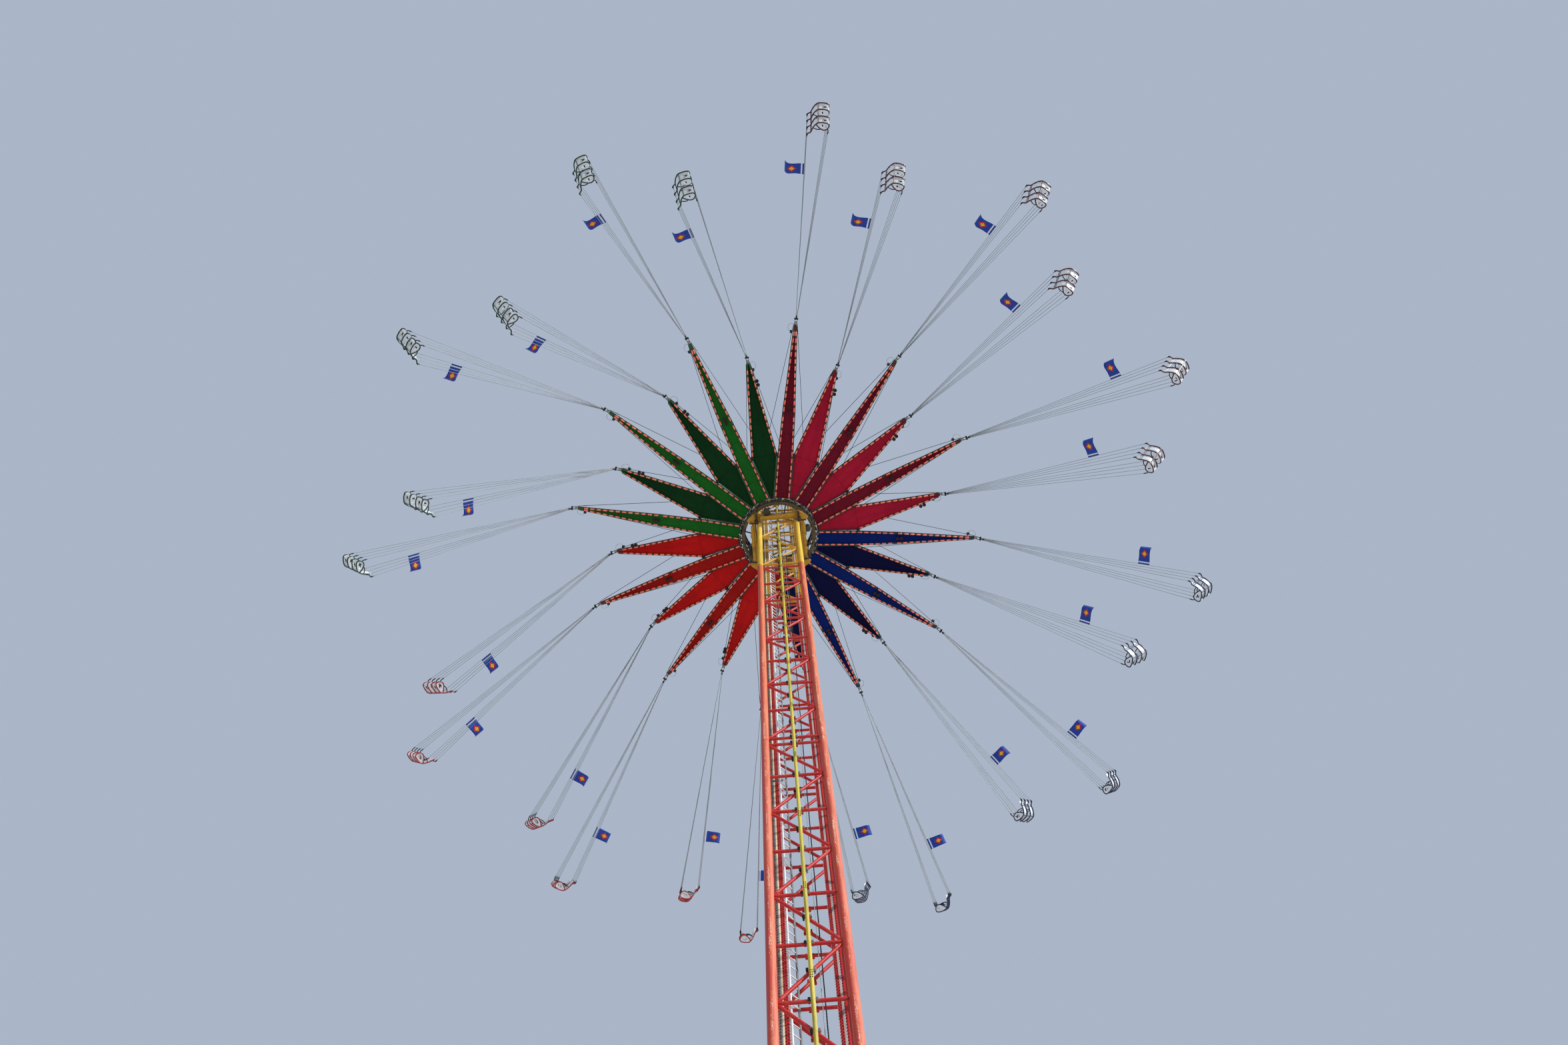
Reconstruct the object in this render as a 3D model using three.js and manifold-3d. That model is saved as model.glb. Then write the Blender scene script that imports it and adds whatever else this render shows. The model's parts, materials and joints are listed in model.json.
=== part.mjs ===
// Tower chair swing ride, as a 1:2 scale model.
// Units are millimetres and +Z is up. The origin is the centre of the base frame's underside.
// The carriage stands high on the tower and the 24 double chairs are flung out, as in full flight.

import * as THREE from 'three';
import { mergeVertices } from 'three/addons/utils/BufferGeometryUtils.js';
import Module from 'manifold-3d';

const wasm = await Module();
wasm.setup();

// Scale: one metre of the full-size ride, in millimetres of this model
const METRE = 1000 / 2;

// Gap between pieces that rest on each other
const SEAT_GAP = 0.3;

// Tower
const TOWER_HALF = 0.78 * METRE;
const LEG_RADIUS = 0.122 * METRE;
const LEG_SIDES = 12;
const LEG_FLAT = LEG_RADIUS * Math.cos(Math.PI / LEG_SIDES);
const BAY = 1.75 * METRE;
const JOINT_HEIGHT = 0.35 * METRE;
const BAYS_IN_BASE = 2;
const BAYS_IN_SECTION = 8;
const SECTION_COUNT = 4;
const BRACE = 0.1 * METRE;
const BASE_HEIGHT = 0.35 * METRE;
const BASE_PLATE = 0.6 * METRE;
const BASE_BEAM = 0.3 * METRE;
const BASE_PLATE_THICKNESS = 0.05 * METRE;
const HEAD_DEPTH = 0.2 * METRE;
const SHEAVE_BEAM = { width: 0.16 * METRE, depth: 0.3 * METRE };

// Guide rails, racks, ladder and hoist rope
const RAIL = 0.09 * METRE;
const RAIL_FOOT = 0.45 * METRE;
const RACK_WIDTH = 0.12 * METRE;
const RACK_THICKNESS = 0.05 * METRE;
const RACK_OFFSET = 0.42 * METRE;
const LADDER_CENTRE = [-0.38 * METRE, 0.3 * METRE];
const LADDER_TURN = -52;
const LADDER_WIDTH = 0.36 * METRE;
const LADDER_STILE = 0.05 * METRE;
const ROPE_CENTRE = [0.22 * METRE, 0.1 * METRE];
const ROPE_SPACING = 0.16 * METRE;
const ROPE = 0.035 * METRE;
const ROPE_ANCHOR = 0.2 * METRE;

// Star of arms: hanger plane and arm radii
const STAR_HEIGHT = 54.93 * METRE;
const ARM_COUNT = 24;
const ARM_PITCH = 360 / ARM_COUNT;
const FIRST_ARM = -90 + 8.93;
const HUB_DROP = 1.84 * METRE;
const ROOT_RADIUS = 1.66 * METRE;
const ROOT_LIFT = 0.14 * METRE;
const TIP_LIFT = 0.1 * METRE;
const PANEL_THICKNESS = 0.05 * METRE;
const PANEL_GAP = 0.012 * METRE;
const SPINE_WIDTH = 0.12 * METRE;
const SPINE_ROOT = 0.42 * METRE;
const SPINE_TIP = 0.1 * METRE;
const HANGER_HALF = 0.07 * METRE;

// Arm kinds: hanger radius, half widths of the panel along it, and the chair's flight.
// Swing and trail are the cable's outward and backward angles, each a mean with once and
// twice a turn variation, given as amplitude and phase in degrees.
const LONG = {
  hanger: 9.0 * METRE,
  outline: [[1.66, 0.33], [3.4, 0.33], [5.2, 0.27], [8.7, 0.075]],
  swing: { mean: 52.3, once: [2.4, 144], twice: [3.3, 29] },
  trail: { mean: -4.3, once: [1.5, 103], twice: [4.7, -53] },
};
const SHORT = {
  hanger: 7.45 * METRE,
  outline: [[1.66, 0.098], [3.4, 0.552], [7.15, 0.1]],
  swing: { mean: 46.9, once: [2.6, 59], twice: [4.6, 46] },
  trail: { mean: -12.5, once: [0.6, -149], twice: [5.0, -52] },
};

// Hub: turning frame with its lower and upper ring
const HUB_RING = { inner: 1.46 * METRE, outer: 1.6 * METRE, depth: 0.2 * METRE };
const HUB_TOP = { inner: 1.48 * METRE, outer: 1.6 * METRE, depth: 0.16 * METRE, below: 0.14 * METRE };
const HUB_POSTS = 12;
const HUB_POST = 0.09 * METRE;
const FLANGE_HEIGHT = 0.16 * METRE;
const FLANGE_LIFT = 0.02 * METRE;
const FLANGE_OUTER = 1.72 * METRE;
const QUARTER_TURN = 11.22;
const QUARTER_GAP = 0.1;

// Stays from the hub's upper ring to the arm tips
const STAY_RADIUS = 0.012 * METRE;
const STAY_BAND = { inner: 1.6 * METRE, outer: 1.64 * METRE, depth: 0.1 * METRE };
const STAY_SPAN = 3;
const STAY_STEP = 0.03 * METRE;
const STAY_TIP = { back: 0.1 * METRE, lift: 0.13 * METRE };

// Carriage round the tower
const SOLE = { bottom: -2.5, top: -2.38, half: 1.1 * METRE, lobe: 1.62 * METRE, lobeHalf: 16 };
const WALL = { outer: 1.09 * METRE, thickness: 0.09 * METRE, top: -1.96 };
const BEARING = { inner: 1.43 * METRE, outer: 1.55 * METRE };
const GUIDE = { outer: 1.02 * METRE, inner: 0.95 * METRE, bottom: -0.24, top: -0.08 };
const GUIDE_POST = 0.1 * METRE;
const ROLLER_GAP = 0.5;
const MOTOR = {
  bottom: -2.36,
  top: -2.02,
  radius: 0.14 * METRE,
  stand: 0.01 * METRE,
  foot: 0.2 * METRE,
  frontOffset: -0.45 * METRE,
  rightOffset: -0.4 * METRE,
};
const CONTROL_BOX = [0.2 * METRE, 0.62 * METRE];
const CONTROL_BOX_DEPTH = 0.22 * METRE;

// Chair: places are metres from the hinge, down the hanging cables
const CHAIR_REACH = 9.9;
const MID_SWING = 50;
const YOKE = { pin: 0.03, pinLength: 0.12, stem: 0.025, depth: 0.07, length: 0.45, spread: 0.26, bar: 0.06 };
const CABLE_RADIUS = 0.009;
const CABLE_TOPS = [-0.1, -0.035, 0.035, 0.1];
const CABLE_SPLIT = 0.02;
const FRAME_PLACES = [-0.57, -0.19, 0.19, 0.57];
const FRAME_THICKNESS = 0.045;
const FRAME_OUTLINE = [
  [-0.36, 0.3], [-0.24, 0.15], [-0.17, -0.06], [-0.03, -0.28], [0.44, -0.27],
  [0.42, 0.15], [0.36, 0.02], [0.24, 0.05], [-0.08, -0.08], [-0.2, 0.17], [-0.31, 0.3],
];
const FRONT_HOOK = [0.4, 0.13];
const REAR_HOOK = [-0.33, 0.28];
const SEAT_LINE = [[-0.22, 0.27], [-0.12, -0.03], [0.01, -0.21], [0.4, -0.22]];
const SEAT_THICKNESS = 0.04;
const SEAT_PLACES = [[-0.57, -0.19], [0.19, 0.57]];
const CROSS_TUBE = { size: 0.045, spots: [[-0.19, 0.1], [0.02, -0.25]] };
const LAP_BAR = { y: 0.2, z: 0, size: 0.035 };
const FLAG = { from: 0.735, to: 0.785, fly: 0.78, thickness: 0.012 };

const radians = THREE.MathUtils.degToRad;
const ride = new THREE.Group();

function finish(color, roughness, metalness) {
  return new THREE.MeshStandardMaterial({ color, roughness, metalness });
}

const PAINT_RED = finish(0xc8371f, 0.45, 0.1);
const PAINT_YELLOW = finish(0xd9a52a, 0.45, 0.1);
const PAINT_CREAM = finish(0xd8cfae, 0.5, 0.1);
const PAINT_WHITE = finish(0xe8e8e4, 0.5, 0.1);
const DARK_STEEL = finish(0x4a463a, 0.45, 0.7);
const BLACK_PLASTIC = finish(0x1a1b1d, 0.5, 0.1);
const WIRE = finish(0x6b6e72, 0.4, 0.8);

const QUARTERS = [
  { name: 'crimson', paint: finish(0x7d1426, 0.7, 0) },
  { name: 'blue', paint: finish(0x0c2a5c, 0.7, 0) },
  { name: 'red', paint: finish(0xa8161c, 0.7, 0) },
  { name: 'green', paint: finish(0x145a24, 0.7, 0) },
];

// Solids and meshes

function toSolid(geometry) {
  const bare = geometry.clone();
  bare.deleteAttribute('normal');
  bare.deleteAttribute('uv');
  const merged = mergeVertices(bare, 1e-3);
  return new wasm.Manifold(new wasm.Mesh({
    numProp: 3,
    vertProperties: new Float32Array(merged.attributes.position.array),
    triVerts: new Uint32Array(merged.index.array),
  }));
}

function toGeometry(solid) {
  const mesh = solid.getMesh();
  const geometry = new THREE.BufferGeometry();
  geometry.setAttribute('position', new THREE.BufferAttribute(mesh.vertProperties, 3));
  geometry.setIndex(new THREE.BufferAttribute(mesh.triVerts, 1));
  geometry.computeVertexNormals();
  return geometry;
}

function unite(geometries) {
  const solids = geometries.map(toSolid);
  return toGeometry(solids.reduce((whole, solid) => whole.add(solid)));
}

function addMesh(name, geometry, material, parent = ride) {
  const mesh = new THREE.Mesh(geometry, material);
  mesh.name = name;
  parent.add(mesh);
  return mesh;
}

// Shapes

function block(xRange, yRange, zRange) {
  const size = [xRange, yRange, zRange].map(([low, high]) => high - low);
  const centre = [xRange, yRange, zRange].map(([low, high]) => (low + high) / 2);
  return new THREE.BoxGeometry(...size).translate(...centre);
}

function centredBlock(width, depth, height, x, y, z) {
  return new THREE.BoxGeometry(width, depth, height).translate(x, y, z);
}

function polygon(points) {
  return new THREE.Shape(points.map(([x, y]) => new THREE.Vector2(x, y)));
}

function extrude(shape, depth) {
  return new THREE.ExtrudeGeometry(shape, { depth, bevelEnabled: false });
}

// A plate standing in the YZ plane, centred on x
function uprightPlate(points, thickness, x) {
  const plate = extrude(polygon(points), thickness);
  plate.applyMatrix4(new THREE.Matrix4().makeBasis(
    new THREE.Vector3(0, 1, 0), new THREE.Vector3(0, 0, 1), new THREE.Vector3(1, 0, 0)));
  return plate.translate(x - thickness / 2, 0, 0);
}

// A thin rope between two points, three-sided, of the given corner radius
function rope(start, end, radius) {
  const length = start.distanceTo(end);
  const shape = new THREE.CylinderGeometry(radius, radius, length, 3);
  const direction = end.clone().sub(start).normalize();
  const turn = new THREE.Quaternion().setFromUnitVectors(new THREE.Vector3(0, 1, 0), direction);
  shape.applyQuaternion(turn);
  const middle = start.clone().add(end).multiplyScalar(0.5);
  return shape.translate(middle.x, middle.y, middle.z);
}

function uprightCylinder(radius, sides, bottom, top, x, y) {
  const shape = new THREE.CylinderGeometry(radius, radius, top - bottom, sides);
  shape.rotateX(Math.PI / 2);
  return shape.translate(x, y, (bottom + top) / 2);
}

// A flat ring whose corners lie half way between the arms
function armRing(inner, outer, bottom, top) {
  const profile = [[inner, bottom], [outer, bottom], [outer, top], [inner, top], [inner, bottom]];
  const points = profile.map(([x, y]) => new THREE.Vector2(x, y));
  const start = radians(FIRST_ARM + 90 + ARM_PITCH / 2);
  const ring = new THREE.LatheGeometry(points, ARM_COUNT, start, 2 * Math.PI);
  return ring.rotateX(Math.PI / 2);
}

// A polyline of the given width, as a closed outline with mitred corners
function ribbon(line, width) {
  const points = line.map(([x, y]) => new THREE.Vector2(x, y));
  const side = (sign) => points.map((point, i) => {
    const before = points[Math.max(i - 1, 0)];
    const after = points[Math.min(i + 1, points.length - 1)];
    const into = point.clone().sub(before);
    const out = after.clone().sub(point);
    if (i === 0) into.copy(out);
    if (i === points.length - 1) out.copy(into);
    const across = into.normalize().add(out.normalize()).normalize();
    const stretch = 1 / across.dot(out);
    const offset = new THREE.Vector2(-across.y, across.x).multiplyScalar(sign * stretch * width / 2);
    return point.clone().add(offset).toArray();
  });
  return [...side(-1), ...side(1).reverse()];
}

// Tower levels: the centre heights of the horizontals

function sectionBottom(section) {
  return BASE_HEIGHT + BAYS_IN_BASE * BAY + JOINT_HEIGHT
    + section * (BAYS_IN_SECTION * BAY + JOINT_HEIGHT);
}

function towerRuns() {
  const runs = [{ bottom: BASE_HEIGHT, bays: BAYS_IN_BASE }];
  for (let section = 0; section < SECTION_COUNT; section += 1) {
    runs.push({ bottom: sectionBottom(section), bays: BAYS_IN_SECTION });
  }
  return runs;
}

const TOWER_TOP = sectionBottom(SECTION_COUNT - 1) + BAYS_IN_SECTION * BAY;

// One face of the tower, drawn in its own plane: a hole for each gap between the braces
function latticeFace(startsLeft) {
  const half = TOWER_HALF - LEG_RADIUS - SEAT_GAP;
  const overhang = BRACE / 2;
  const bottom = BASE_HEIGHT + SEAT_GAP;
  const top = TOWER_TOP + overhang;
  const face = polygon([[-half, bottom], [half, bottom], [half, top], [-half, top]]);
  const slope = Math.atan2(BAY, 2 * half);
  const rise = overhang / Math.cos(slope);
  let left = startsLeft;
  towerRuns().forEach((run, index) => {
    for (let bay = 0; bay < run.bays; bay += 1) {
      const side = left ? -1 : 1;
      const low = run.bottom + bay * BAY + (index === 0 && bay === 0 ? 2 * overhang : overhang);
      const high = run.bottom + (bay + 1) * BAY - overhang;
      face.holes.push(...gapsBesideDiagonal(side, half, run.bottom + bay * BAY, low, high, rise));
      left = !left;
    }
    if (index > 0) {
      const edge = half - 2 * BRACE;
      const gap = [run.bottom - JOINT_HEIGHT + overhang, run.bottom - overhang];
      face.holes.push(polygon([[-edge, gap[0]], [edge, gap[0]], [edge, gap[1]], [-edge, gap[1]]]));
    }
  });
  return extrude(face, BRACE);
}

// The two triangular gaps of a bay whose diagonal rises from the given side
function gapsBesideDiagonal(side, half, floor, low, high, rise) {
  const edge = half - BRACE / 4;
  const at = (height, shift) => side * half * (1 - 2 * (height + shift - floor) / BAY);
  const outline = (points) => polygon(side > 0 ? points : [...points].reverse());
  const under = [
    [-side * edge, low], [at(low, rise), low], [-side * edge, floor + BAY - rise - BRACE / 4],
  ];
  const over = [
    [side * edge, high], [side * edge, floor + rise + BRACE / 4], [at(high, -rise), high],
  ];
  return [outline(under), outline(over)];
}

function buildTower() {
  const names = ['front', 'right', 'back', 'left'];
  names.forEach((name, i) => {
    const face = latticeFace(i % 2 === 0);
    face.rotateX(Math.PI / 2).translate(0, -TOWER_HALF + BRACE / 2, 0);
    const mesh = addMesh(`tower_lattice_${name}`, face, PAINT_RED);
    mesh.rotation.z = i * Math.PI / 2;
  });
  const corners = [
    ['front_left', -1, -1], ['front_right', 1, -1], ['back_right', 1, 1], ['back_left', -1, 1],
  ];
  corners.forEach(([name, x, y]) => {
    const leg = uprightCylinder(LEG_RADIUS, LEG_SIDES, BASE_HEIGHT + SEAT_GAP, TOWER_TOP,
      x * TOWER_HALF, y * TOWER_HALF);
    addMesh(`tower_leg_${name}`, leg, PAINT_RED);
  });
}

// The base frame stands on four plates and carries the legs on crossed and outer beams
function buildBaseFrame() {
  const pieces = [];
  for (const x of [-1, 1]) {
    for (const y of [-1, 1]) {
      pieces.push(centredBlock(BASE_PLATE, BASE_PLATE, BASE_PLATE_THICKNESS,
        x * TOWER_HALF, y * TOWER_HALF, BASE_PLATE_THICKNESS / 2));
      pieces.push(centredBlock(BASE_BEAM, BASE_BEAM, BASE_HEIGHT,
        x * TOWER_HALF, y * TOWER_HALF, BASE_HEIGHT / 2));
    }
  }
  const span = 2 * TOWER_HALF;
  const width = BASE_BEAM * 0.7;
  for (const side of [-1, 0, 1]) {
    pieces.push(centredBlock(span, width, BASE_HEIGHT, 0, side * TOWER_HALF, BASE_HEIGHT / 2));
    pieces.push(centredBlock(width, span, BASE_HEIGHT, side * TOWER_HALF, 0, BASE_HEIGHT / 2));
  }
  addMesh('base_frame', unite(pieces), DARK_STEEL);
}

// The head ties the legs together and carries the hoist sheave beam
function buildTowerHead() {
  const bottom = TOWER_TOP + BRACE / 2 + SEAT_GAP;
  const top = bottom + HEAD_DEPTH;
  const outer = TOWER_HALF + LEG_RADIUS;
  const inner = TOWER_HALF - LEG_RADIUS;
  const pieces = [];
  for (const side of [-1, 1]) {
    const range = side < 0 ? [-outer, -inner] : [inner, outer];
    pieces.push(block([-outer, outer], range, [bottom, top]));
    pieces.push(block(range, [-outer, outer], [bottom, top]));
    for (const other of [-1, 1]) {
      pieces.push(centredBlock(2 * LEG_RADIUS, 2 * LEG_RADIUS, BRACE,
        side * TOWER_HALF, other * TOWER_HALF, TOWER_TOP + SEAT_GAP + BRACE / 2));
    }
  }
  pieces.push(centredBlock(2 * outer, SHEAVE_BEAM.width, SHEAVE_BEAM.depth, 0, ROPE_CENTRE[1], top));
  addMesh('tower_head_frame', unite(pieces), PAINT_YELLOW);
}

function buildGuideRails() {
  const distance = TOWER_HALF + BRACE / 2 + SEAT_GAP + RAIL / 2;
  const top = TOWER_TOP + BRACE / 2;
  const rails = [
    ['front', PAINT_YELLOW], ['right', PAINT_CREAM], ['back', PAINT_CREAM], ['left', PAINT_CREAM],
  ];
  rails.forEach(([name, paint], i) => {
    const rail = block([-RAIL / 2, RAIL / 2], [-distance - RAIL / 2, -distance + RAIL / 2], [RAIL_FOOT, top]);
    const mesh = addMesh(`guide_rail_${name}`, rail, paint);
    mesh.rotation.z = i * Math.PI / 2;
  });
}

function buildRacks() {
  const inner = TOWER_HALF - BRACE / 2 - SEAT_GAP;
  [['left', -1], ['right', 1]].forEach(([name, side]) => {
    const xRange = side < 0 ? [-inner, -inner + RACK_WIDTH] : [inner - RACK_WIDTH, inner];
    const yRange = [RACK_OFFSET - RACK_THICKNESS / 2, RACK_OFFSET + RACK_THICKNESS / 2];
    const rack = block(xRange, yRange, [RAIL_FOOT, TOWER_TOP]);
    addMesh(`rack_strip_${name}`, rack, PAINT_RED);
  });
}

// The ladder's stiles with a rung at every second bay, on brackets to the left face
function buildLadder() {
  const bottom = BASE_HEIGHT + SEAT_GAP;
  const top = TOWER_TOP;
  const half = LADDER_WIDTH / 2;
  const frame = polygon([[-half, bottom], [half, bottom], [half, top], [-half, top]]);
  const levels = [bottom + LADDER_STILE / 2];
  towerRuns().forEach((run) => {
    for (let bay = 2; bay <= run.bays; bay += 2) levels.push(run.bottom + bay * BAY);
  });
  for (let i = 1; i < levels.length; i += 1) {
    const low = levels[i - 1] + LADDER_STILE / 2;
    const high = levels[i] - LADDER_STILE / 2;
    const edge = half - LADDER_STILE;
    frame.holes.push(polygon([[-edge, low], [edge, low], [edge, high], [-edge, high]]));
  }
  const stiles = extrude(frame, LADDER_STILE / 2);
  stiles.rotateX(Math.PI / 2).rotateZ(radians(LADDER_TURN)).translate(...LADDER_CENTRE, 0);
  const face = -TOWER_HALF + BRACE / 2 + SEAT_GAP;
  const brackets = towerRuns().map((run) => centredBlock(
    LADDER_CENTRE[0] - face, LADDER_STILE, LADDER_STILE,
    (LADDER_CENTRE[0] + face) / 2, LADDER_CENTRE[1], run.bottom + run.bays * BAY));
  addMesh('access_ladder', unite([stiles, ...brackets]), PAINT_WHITE);
}

// Two falls of the hoist rope, from the anchor on the base frame to the sheave under the head
function buildHoistRope() {
  const [x, y] = ROPE_CENTRE;
  const bottom = BASE_HEIGHT + SEAT_GAP;
  const sheaveTop = TOWER_TOP + BRACE / 2 + HEAD_DEPTH / 4;
  const pieces = [-1, 1].map((side) => uprightCylinder(ROPE / 2, 6, bottom, sheaveTop - ROPE,
    x + side * ROPE_SPACING / 2, y));
  for (const height of [bottom + ROPE_ANCHOR / 2, sheaveTop - ROPE_ANCHOR / 2]) {
    pieces.push(centredBlock(ROPE_SPACING + 3 * ROPE, 3 * ROPE, ROPE_ANCHOR, x, y, height));
  }
  addMesh('hoist_rope', unite(pieces), BLACK_PLASTIC);
}

// Carriage

// A square with its corners cut off where they face the legs
function legClearOpening(half) {
  const cornerFace = (TOWER_HALF * Math.SQRT2 + LEG_FLAT + ROLLER_GAP) * Math.SQRT2;
  const cut = cornerFace - half;
  return polygon([
    [-half, -cut], [-cut, -half], [cut, -half], [half, -cut],
    [half, cut], [cut, half], [-cut, half], [-half, cut],
  ]);
}

function square(half) {
  return polygon([[-half, -half], [half, -half], [half, half], [-half, half]]);
}

// The sole's square outline with a rounded lobe past each corner
function soleOutline() {
  const notch = SOLE.half * Math.tan(radians(45 - SOLE.lobeHalf));
  const points = [];
  for (let corner = 0; corner < 4; corner += 1) {
    const middle = -135 + corner * 90;
    for (let step = -2; step <= 2; step += 1) {
      const angle = radians(middle + step * SOLE.lobeHalf / 2);
      points.push([SOLE.lobe * Math.cos(angle), SOLE.lobe * Math.sin(angle)]);
    }
    const edge = radians(middle + 45);
    for (const along of [-notch, notch]) {
      points.push([
        SOLE.half * Math.cos(edge) - along * Math.sin(edge),
        SOLE.half * Math.sin(edge) + along * Math.cos(edge),
      ]);
    }
  }
  return points;
}

function buildCarriage() {
  const level = (metres) => STAR_HEIGHT + metres * METRE;

  const sole = polygon(soleOutline());
  sole.holes.push(legClearOpening(GUIDE.inner));
  const plate = extrude(sole, (SOLE.top - SOLE.bottom) * METRE).translate(0, 0, level(SOLE.bottom));
  addMesh('carriage_sole_plate', plate, PAINT_YELLOW);

  const inner = WALL.outer - WALL.thickness;
  const walls = square(WALL.outer);
  walls.holes.push(square(inner));
  const wallBottom = level(SOLE.top) + SEAT_GAP;
  const wallHeight = level(WALL.top) - wallBottom;
  addMesh('carriage_walls', extrude(walls, wallHeight).translate(0, 0, wallBottom), PAINT_YELLOW);

  const hubBottom = STAR_HEIGHT - HUB_DROP;
  const bearing = armRing(BEARING.inner, BEARING.outer, level(WALL.top) + SEAT_GAP, hubBottom - ROLLER_GAP);
  addMesh('slew_bearing_ring', bearing, DARK_STEEL);

  const frame = square(GUIDE.outer);
  frame.holes.push(legClearOpening(GUIDE.inner));
  const pieces = [extrude(frame, (GUIDE.top - GUIDE.bottom) * METRE).translate(0, 0, level(GUIDE.bottom))];
  const postOuter = inner - SEAT_GAP;
  for (const x of [-1, 1]) {
    for (const y of [-1, 1]) {
      const xRange = [x * postOuter, x * (postOuter - GUIDE_POST)].sort((a, b) => a - b);
      const yRange = [y * postOuter, y * (postOuter - GUIDE_POST)].sort((a, b) => a - b);
      pieces.push(block(xRange, yRange, [level(SOLE.top) + SEAT_GAP, level(GUIDE.top)]));
    }
  }
  addMesh('carriage_guide_frame', unite(pieces), PAINT_YELLOW);

  buildSlewMotors(level);
}

// Two slewing motors and a control box hang on the outside of the carriage walls
function buildSlewMotors(level) {
  const seat = WALL.outer + SEAT_GAP;
  const bottom = level(MOTOR.bottom);
  const top = level(MOTOR.top);
  const middle = (bottom + top) / 2;
  const motor = (x) => unite([
    uprightCylinder(MOTOR.radius, 12, bottom, top, x, -seat - MOTOR.stand - MOTOR.radius),
    centredBlock(MOTOR.foot, MOTOR.radius, MOTOR.foot, x, -seat - MOTOR.radius / 2, middle),
  ]);
  addMesh('slew_motor_front', motor(MOTOR.frontOffset), DARK_STEEL);
  const right = addMesh('slew_motor_right', motor(MOTOR.rightOffset), DARK_STEEL);
  right.rotation.z = Math.PI / 2;
  const box = block([-seat - CONTROL_BOX_DEPTH, -seat], CONTROL_BOX, [bottom, top]);
  addMesh('control_box_left', box, BLACK_PLASTIC);
}

// Turning hub and stays

function buildHubFrame() {
  const bottom = STAR_HEIGHT - HUB_DROP;
  const topTop = STAR_HEIGHT - HUB_TOP.below;
  const topBottom = topTop - HUB_TOP.depth;
  const pieces = [
    armRing(HUB_RING.inner, HUB_RING.outer, bottom, bottom + HUB_RING.depth),
    armRing(HUB_TOP.inner, HUB_TOP.outer, topBottom, topTop),
  ];
  const radius = (HUB_TOP.inner + HUB_TOP.outer) / 2;
  for (let i = 0; i < HUB_POSTS; i += 1) {
    const angle = radians(FIRST_ARM + (i + 0.25) * 360 / HUB_POSTS);
    const post = centredBlock(HUB_POST, HUB_POST, topTop - bottom - HUB_RING.depth / 2,
      radius, 0, (topTop + bottom) / 2 - HUB_TOP.depth / 4);
    pieces.push(post.rotateZ(angle));
  }
  addMesh('hub_frame', unite(pieces), DARK_STEEL);
}

function armKind(index) {
  return index % 2 === 0 ? LONG : SHORT;
}

function armAngle(index) {
  return radians(FIRST_ARM + index * ARM_PITCH);
}

function polar(radius, angle, height) {
  return new THREE.Vector3(radius * Math.cos(angle), radius * Math.sin(angle), height);
}

// Each stay runs from the band on the upper ring to the side of an arm tip, three arms away
function buildStays() {
  const middle = STAR_HEIGHT - HUB_TOP.below - HUB_TOP.depth / 2;
  const inner = STAY_BAND.inner + SEAT_GAP;
  const flat = (inner + STAY_BAND.outer) / 2 * Math.cos(radians(ARM_PITCH / 2));
  const reach = STAY_BAND.depth / 2;
  const pieces = [armRing(inner, STAY_BAND.outer, middle - reach, middle + reach)];
  for (let i = 0; i < ARM_COUNT; i += 1) {
    for (const side of [-1, 1]) {
      const height = middle + side * STAY_STEP;
      const start = polar(flat, armAngle(i - side * STAY_SPAN), height);
      const tip = polar(armKind(i).hanger - STAY_TIP.back, armAngle(i), STAR_HEIGHT + STAY_TIP.lift);
      const sideways = polar(HANGER_HALF + SEAT_GAP + STAY_RADIUS, armAngle(i) - side * Math.PI / 2, 0);
      pieces.push(rope(start, tip.add(sideways), STAY_RADIUS));
    }
  }
  addMesh('arm_stays', unite(pieces), WIRE);
}

// Arms: panel plate with a spine beam above it and a hanger block at the tip

function armSlope(kind) {
  const rise = HUB_DROP - ROOT_LIFT + TIP_LIFT;
  return rise / (kind.hanger - ROOT_RADIUS);
}

function armPieces(kind) {
  const rootHeight = STAR_HEIGHT - HUB_DROP + ROOT_LIFT;
  const slope = armSlope(kind);
  const scaled = kind.outline.map(([radius, half]) => [radius * METRE, half * METRE - PANEL_GAP / 2]);
  const outline = [...scaled.map(([x, y]) => [x, -y]), ...scaled.reverse()];
  const rise = new THREE.Matrix4();
  rise.elements[2] = slope;
  const plate = extrude(polygon(outline), PANEL_THICKNESS);
  plate.applyMatrix4(rise).translate(0, 0, rootHeight - slope * ROOT_RADIUS);

  const tipRadius = kind.hanger + 0.08 * METRE;
  const blockBottom = STAR_HEIGHT + YOKE.pin * METRE + ROLLER_GAP;
  const sideView = [
    [ROOT_RADIUS, rootHeight + PANEL_THICKNESS / 2],
    [kind.hanger - 0.2 * METRE, STAR_HEIGHT + TIP_LIFT],
    [kind.hanger - 0.2 * METRE, STAR_HEIGHT + TIP_LIFT + SPINE_TIP],
    [ROOT_RADIUS, rootHeight + SPINE_ROOT],
  ];
  const spine = extrude(polygon(sideView), SPINE_WIDTH).rotateX(Math.PI / 2).translate(0, SPINE_WIDTH / 2, 0);
  const hanger = block([kind.hanger - 0.3 * METRE, tipRadius], [-HANGER_HALF, HANGER_HALF],
    [blockBottom, STAR_HEIGHT + TIP_LIFT + SPINE_TIP]);
  return [plate, spine, hanger];
}

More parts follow.
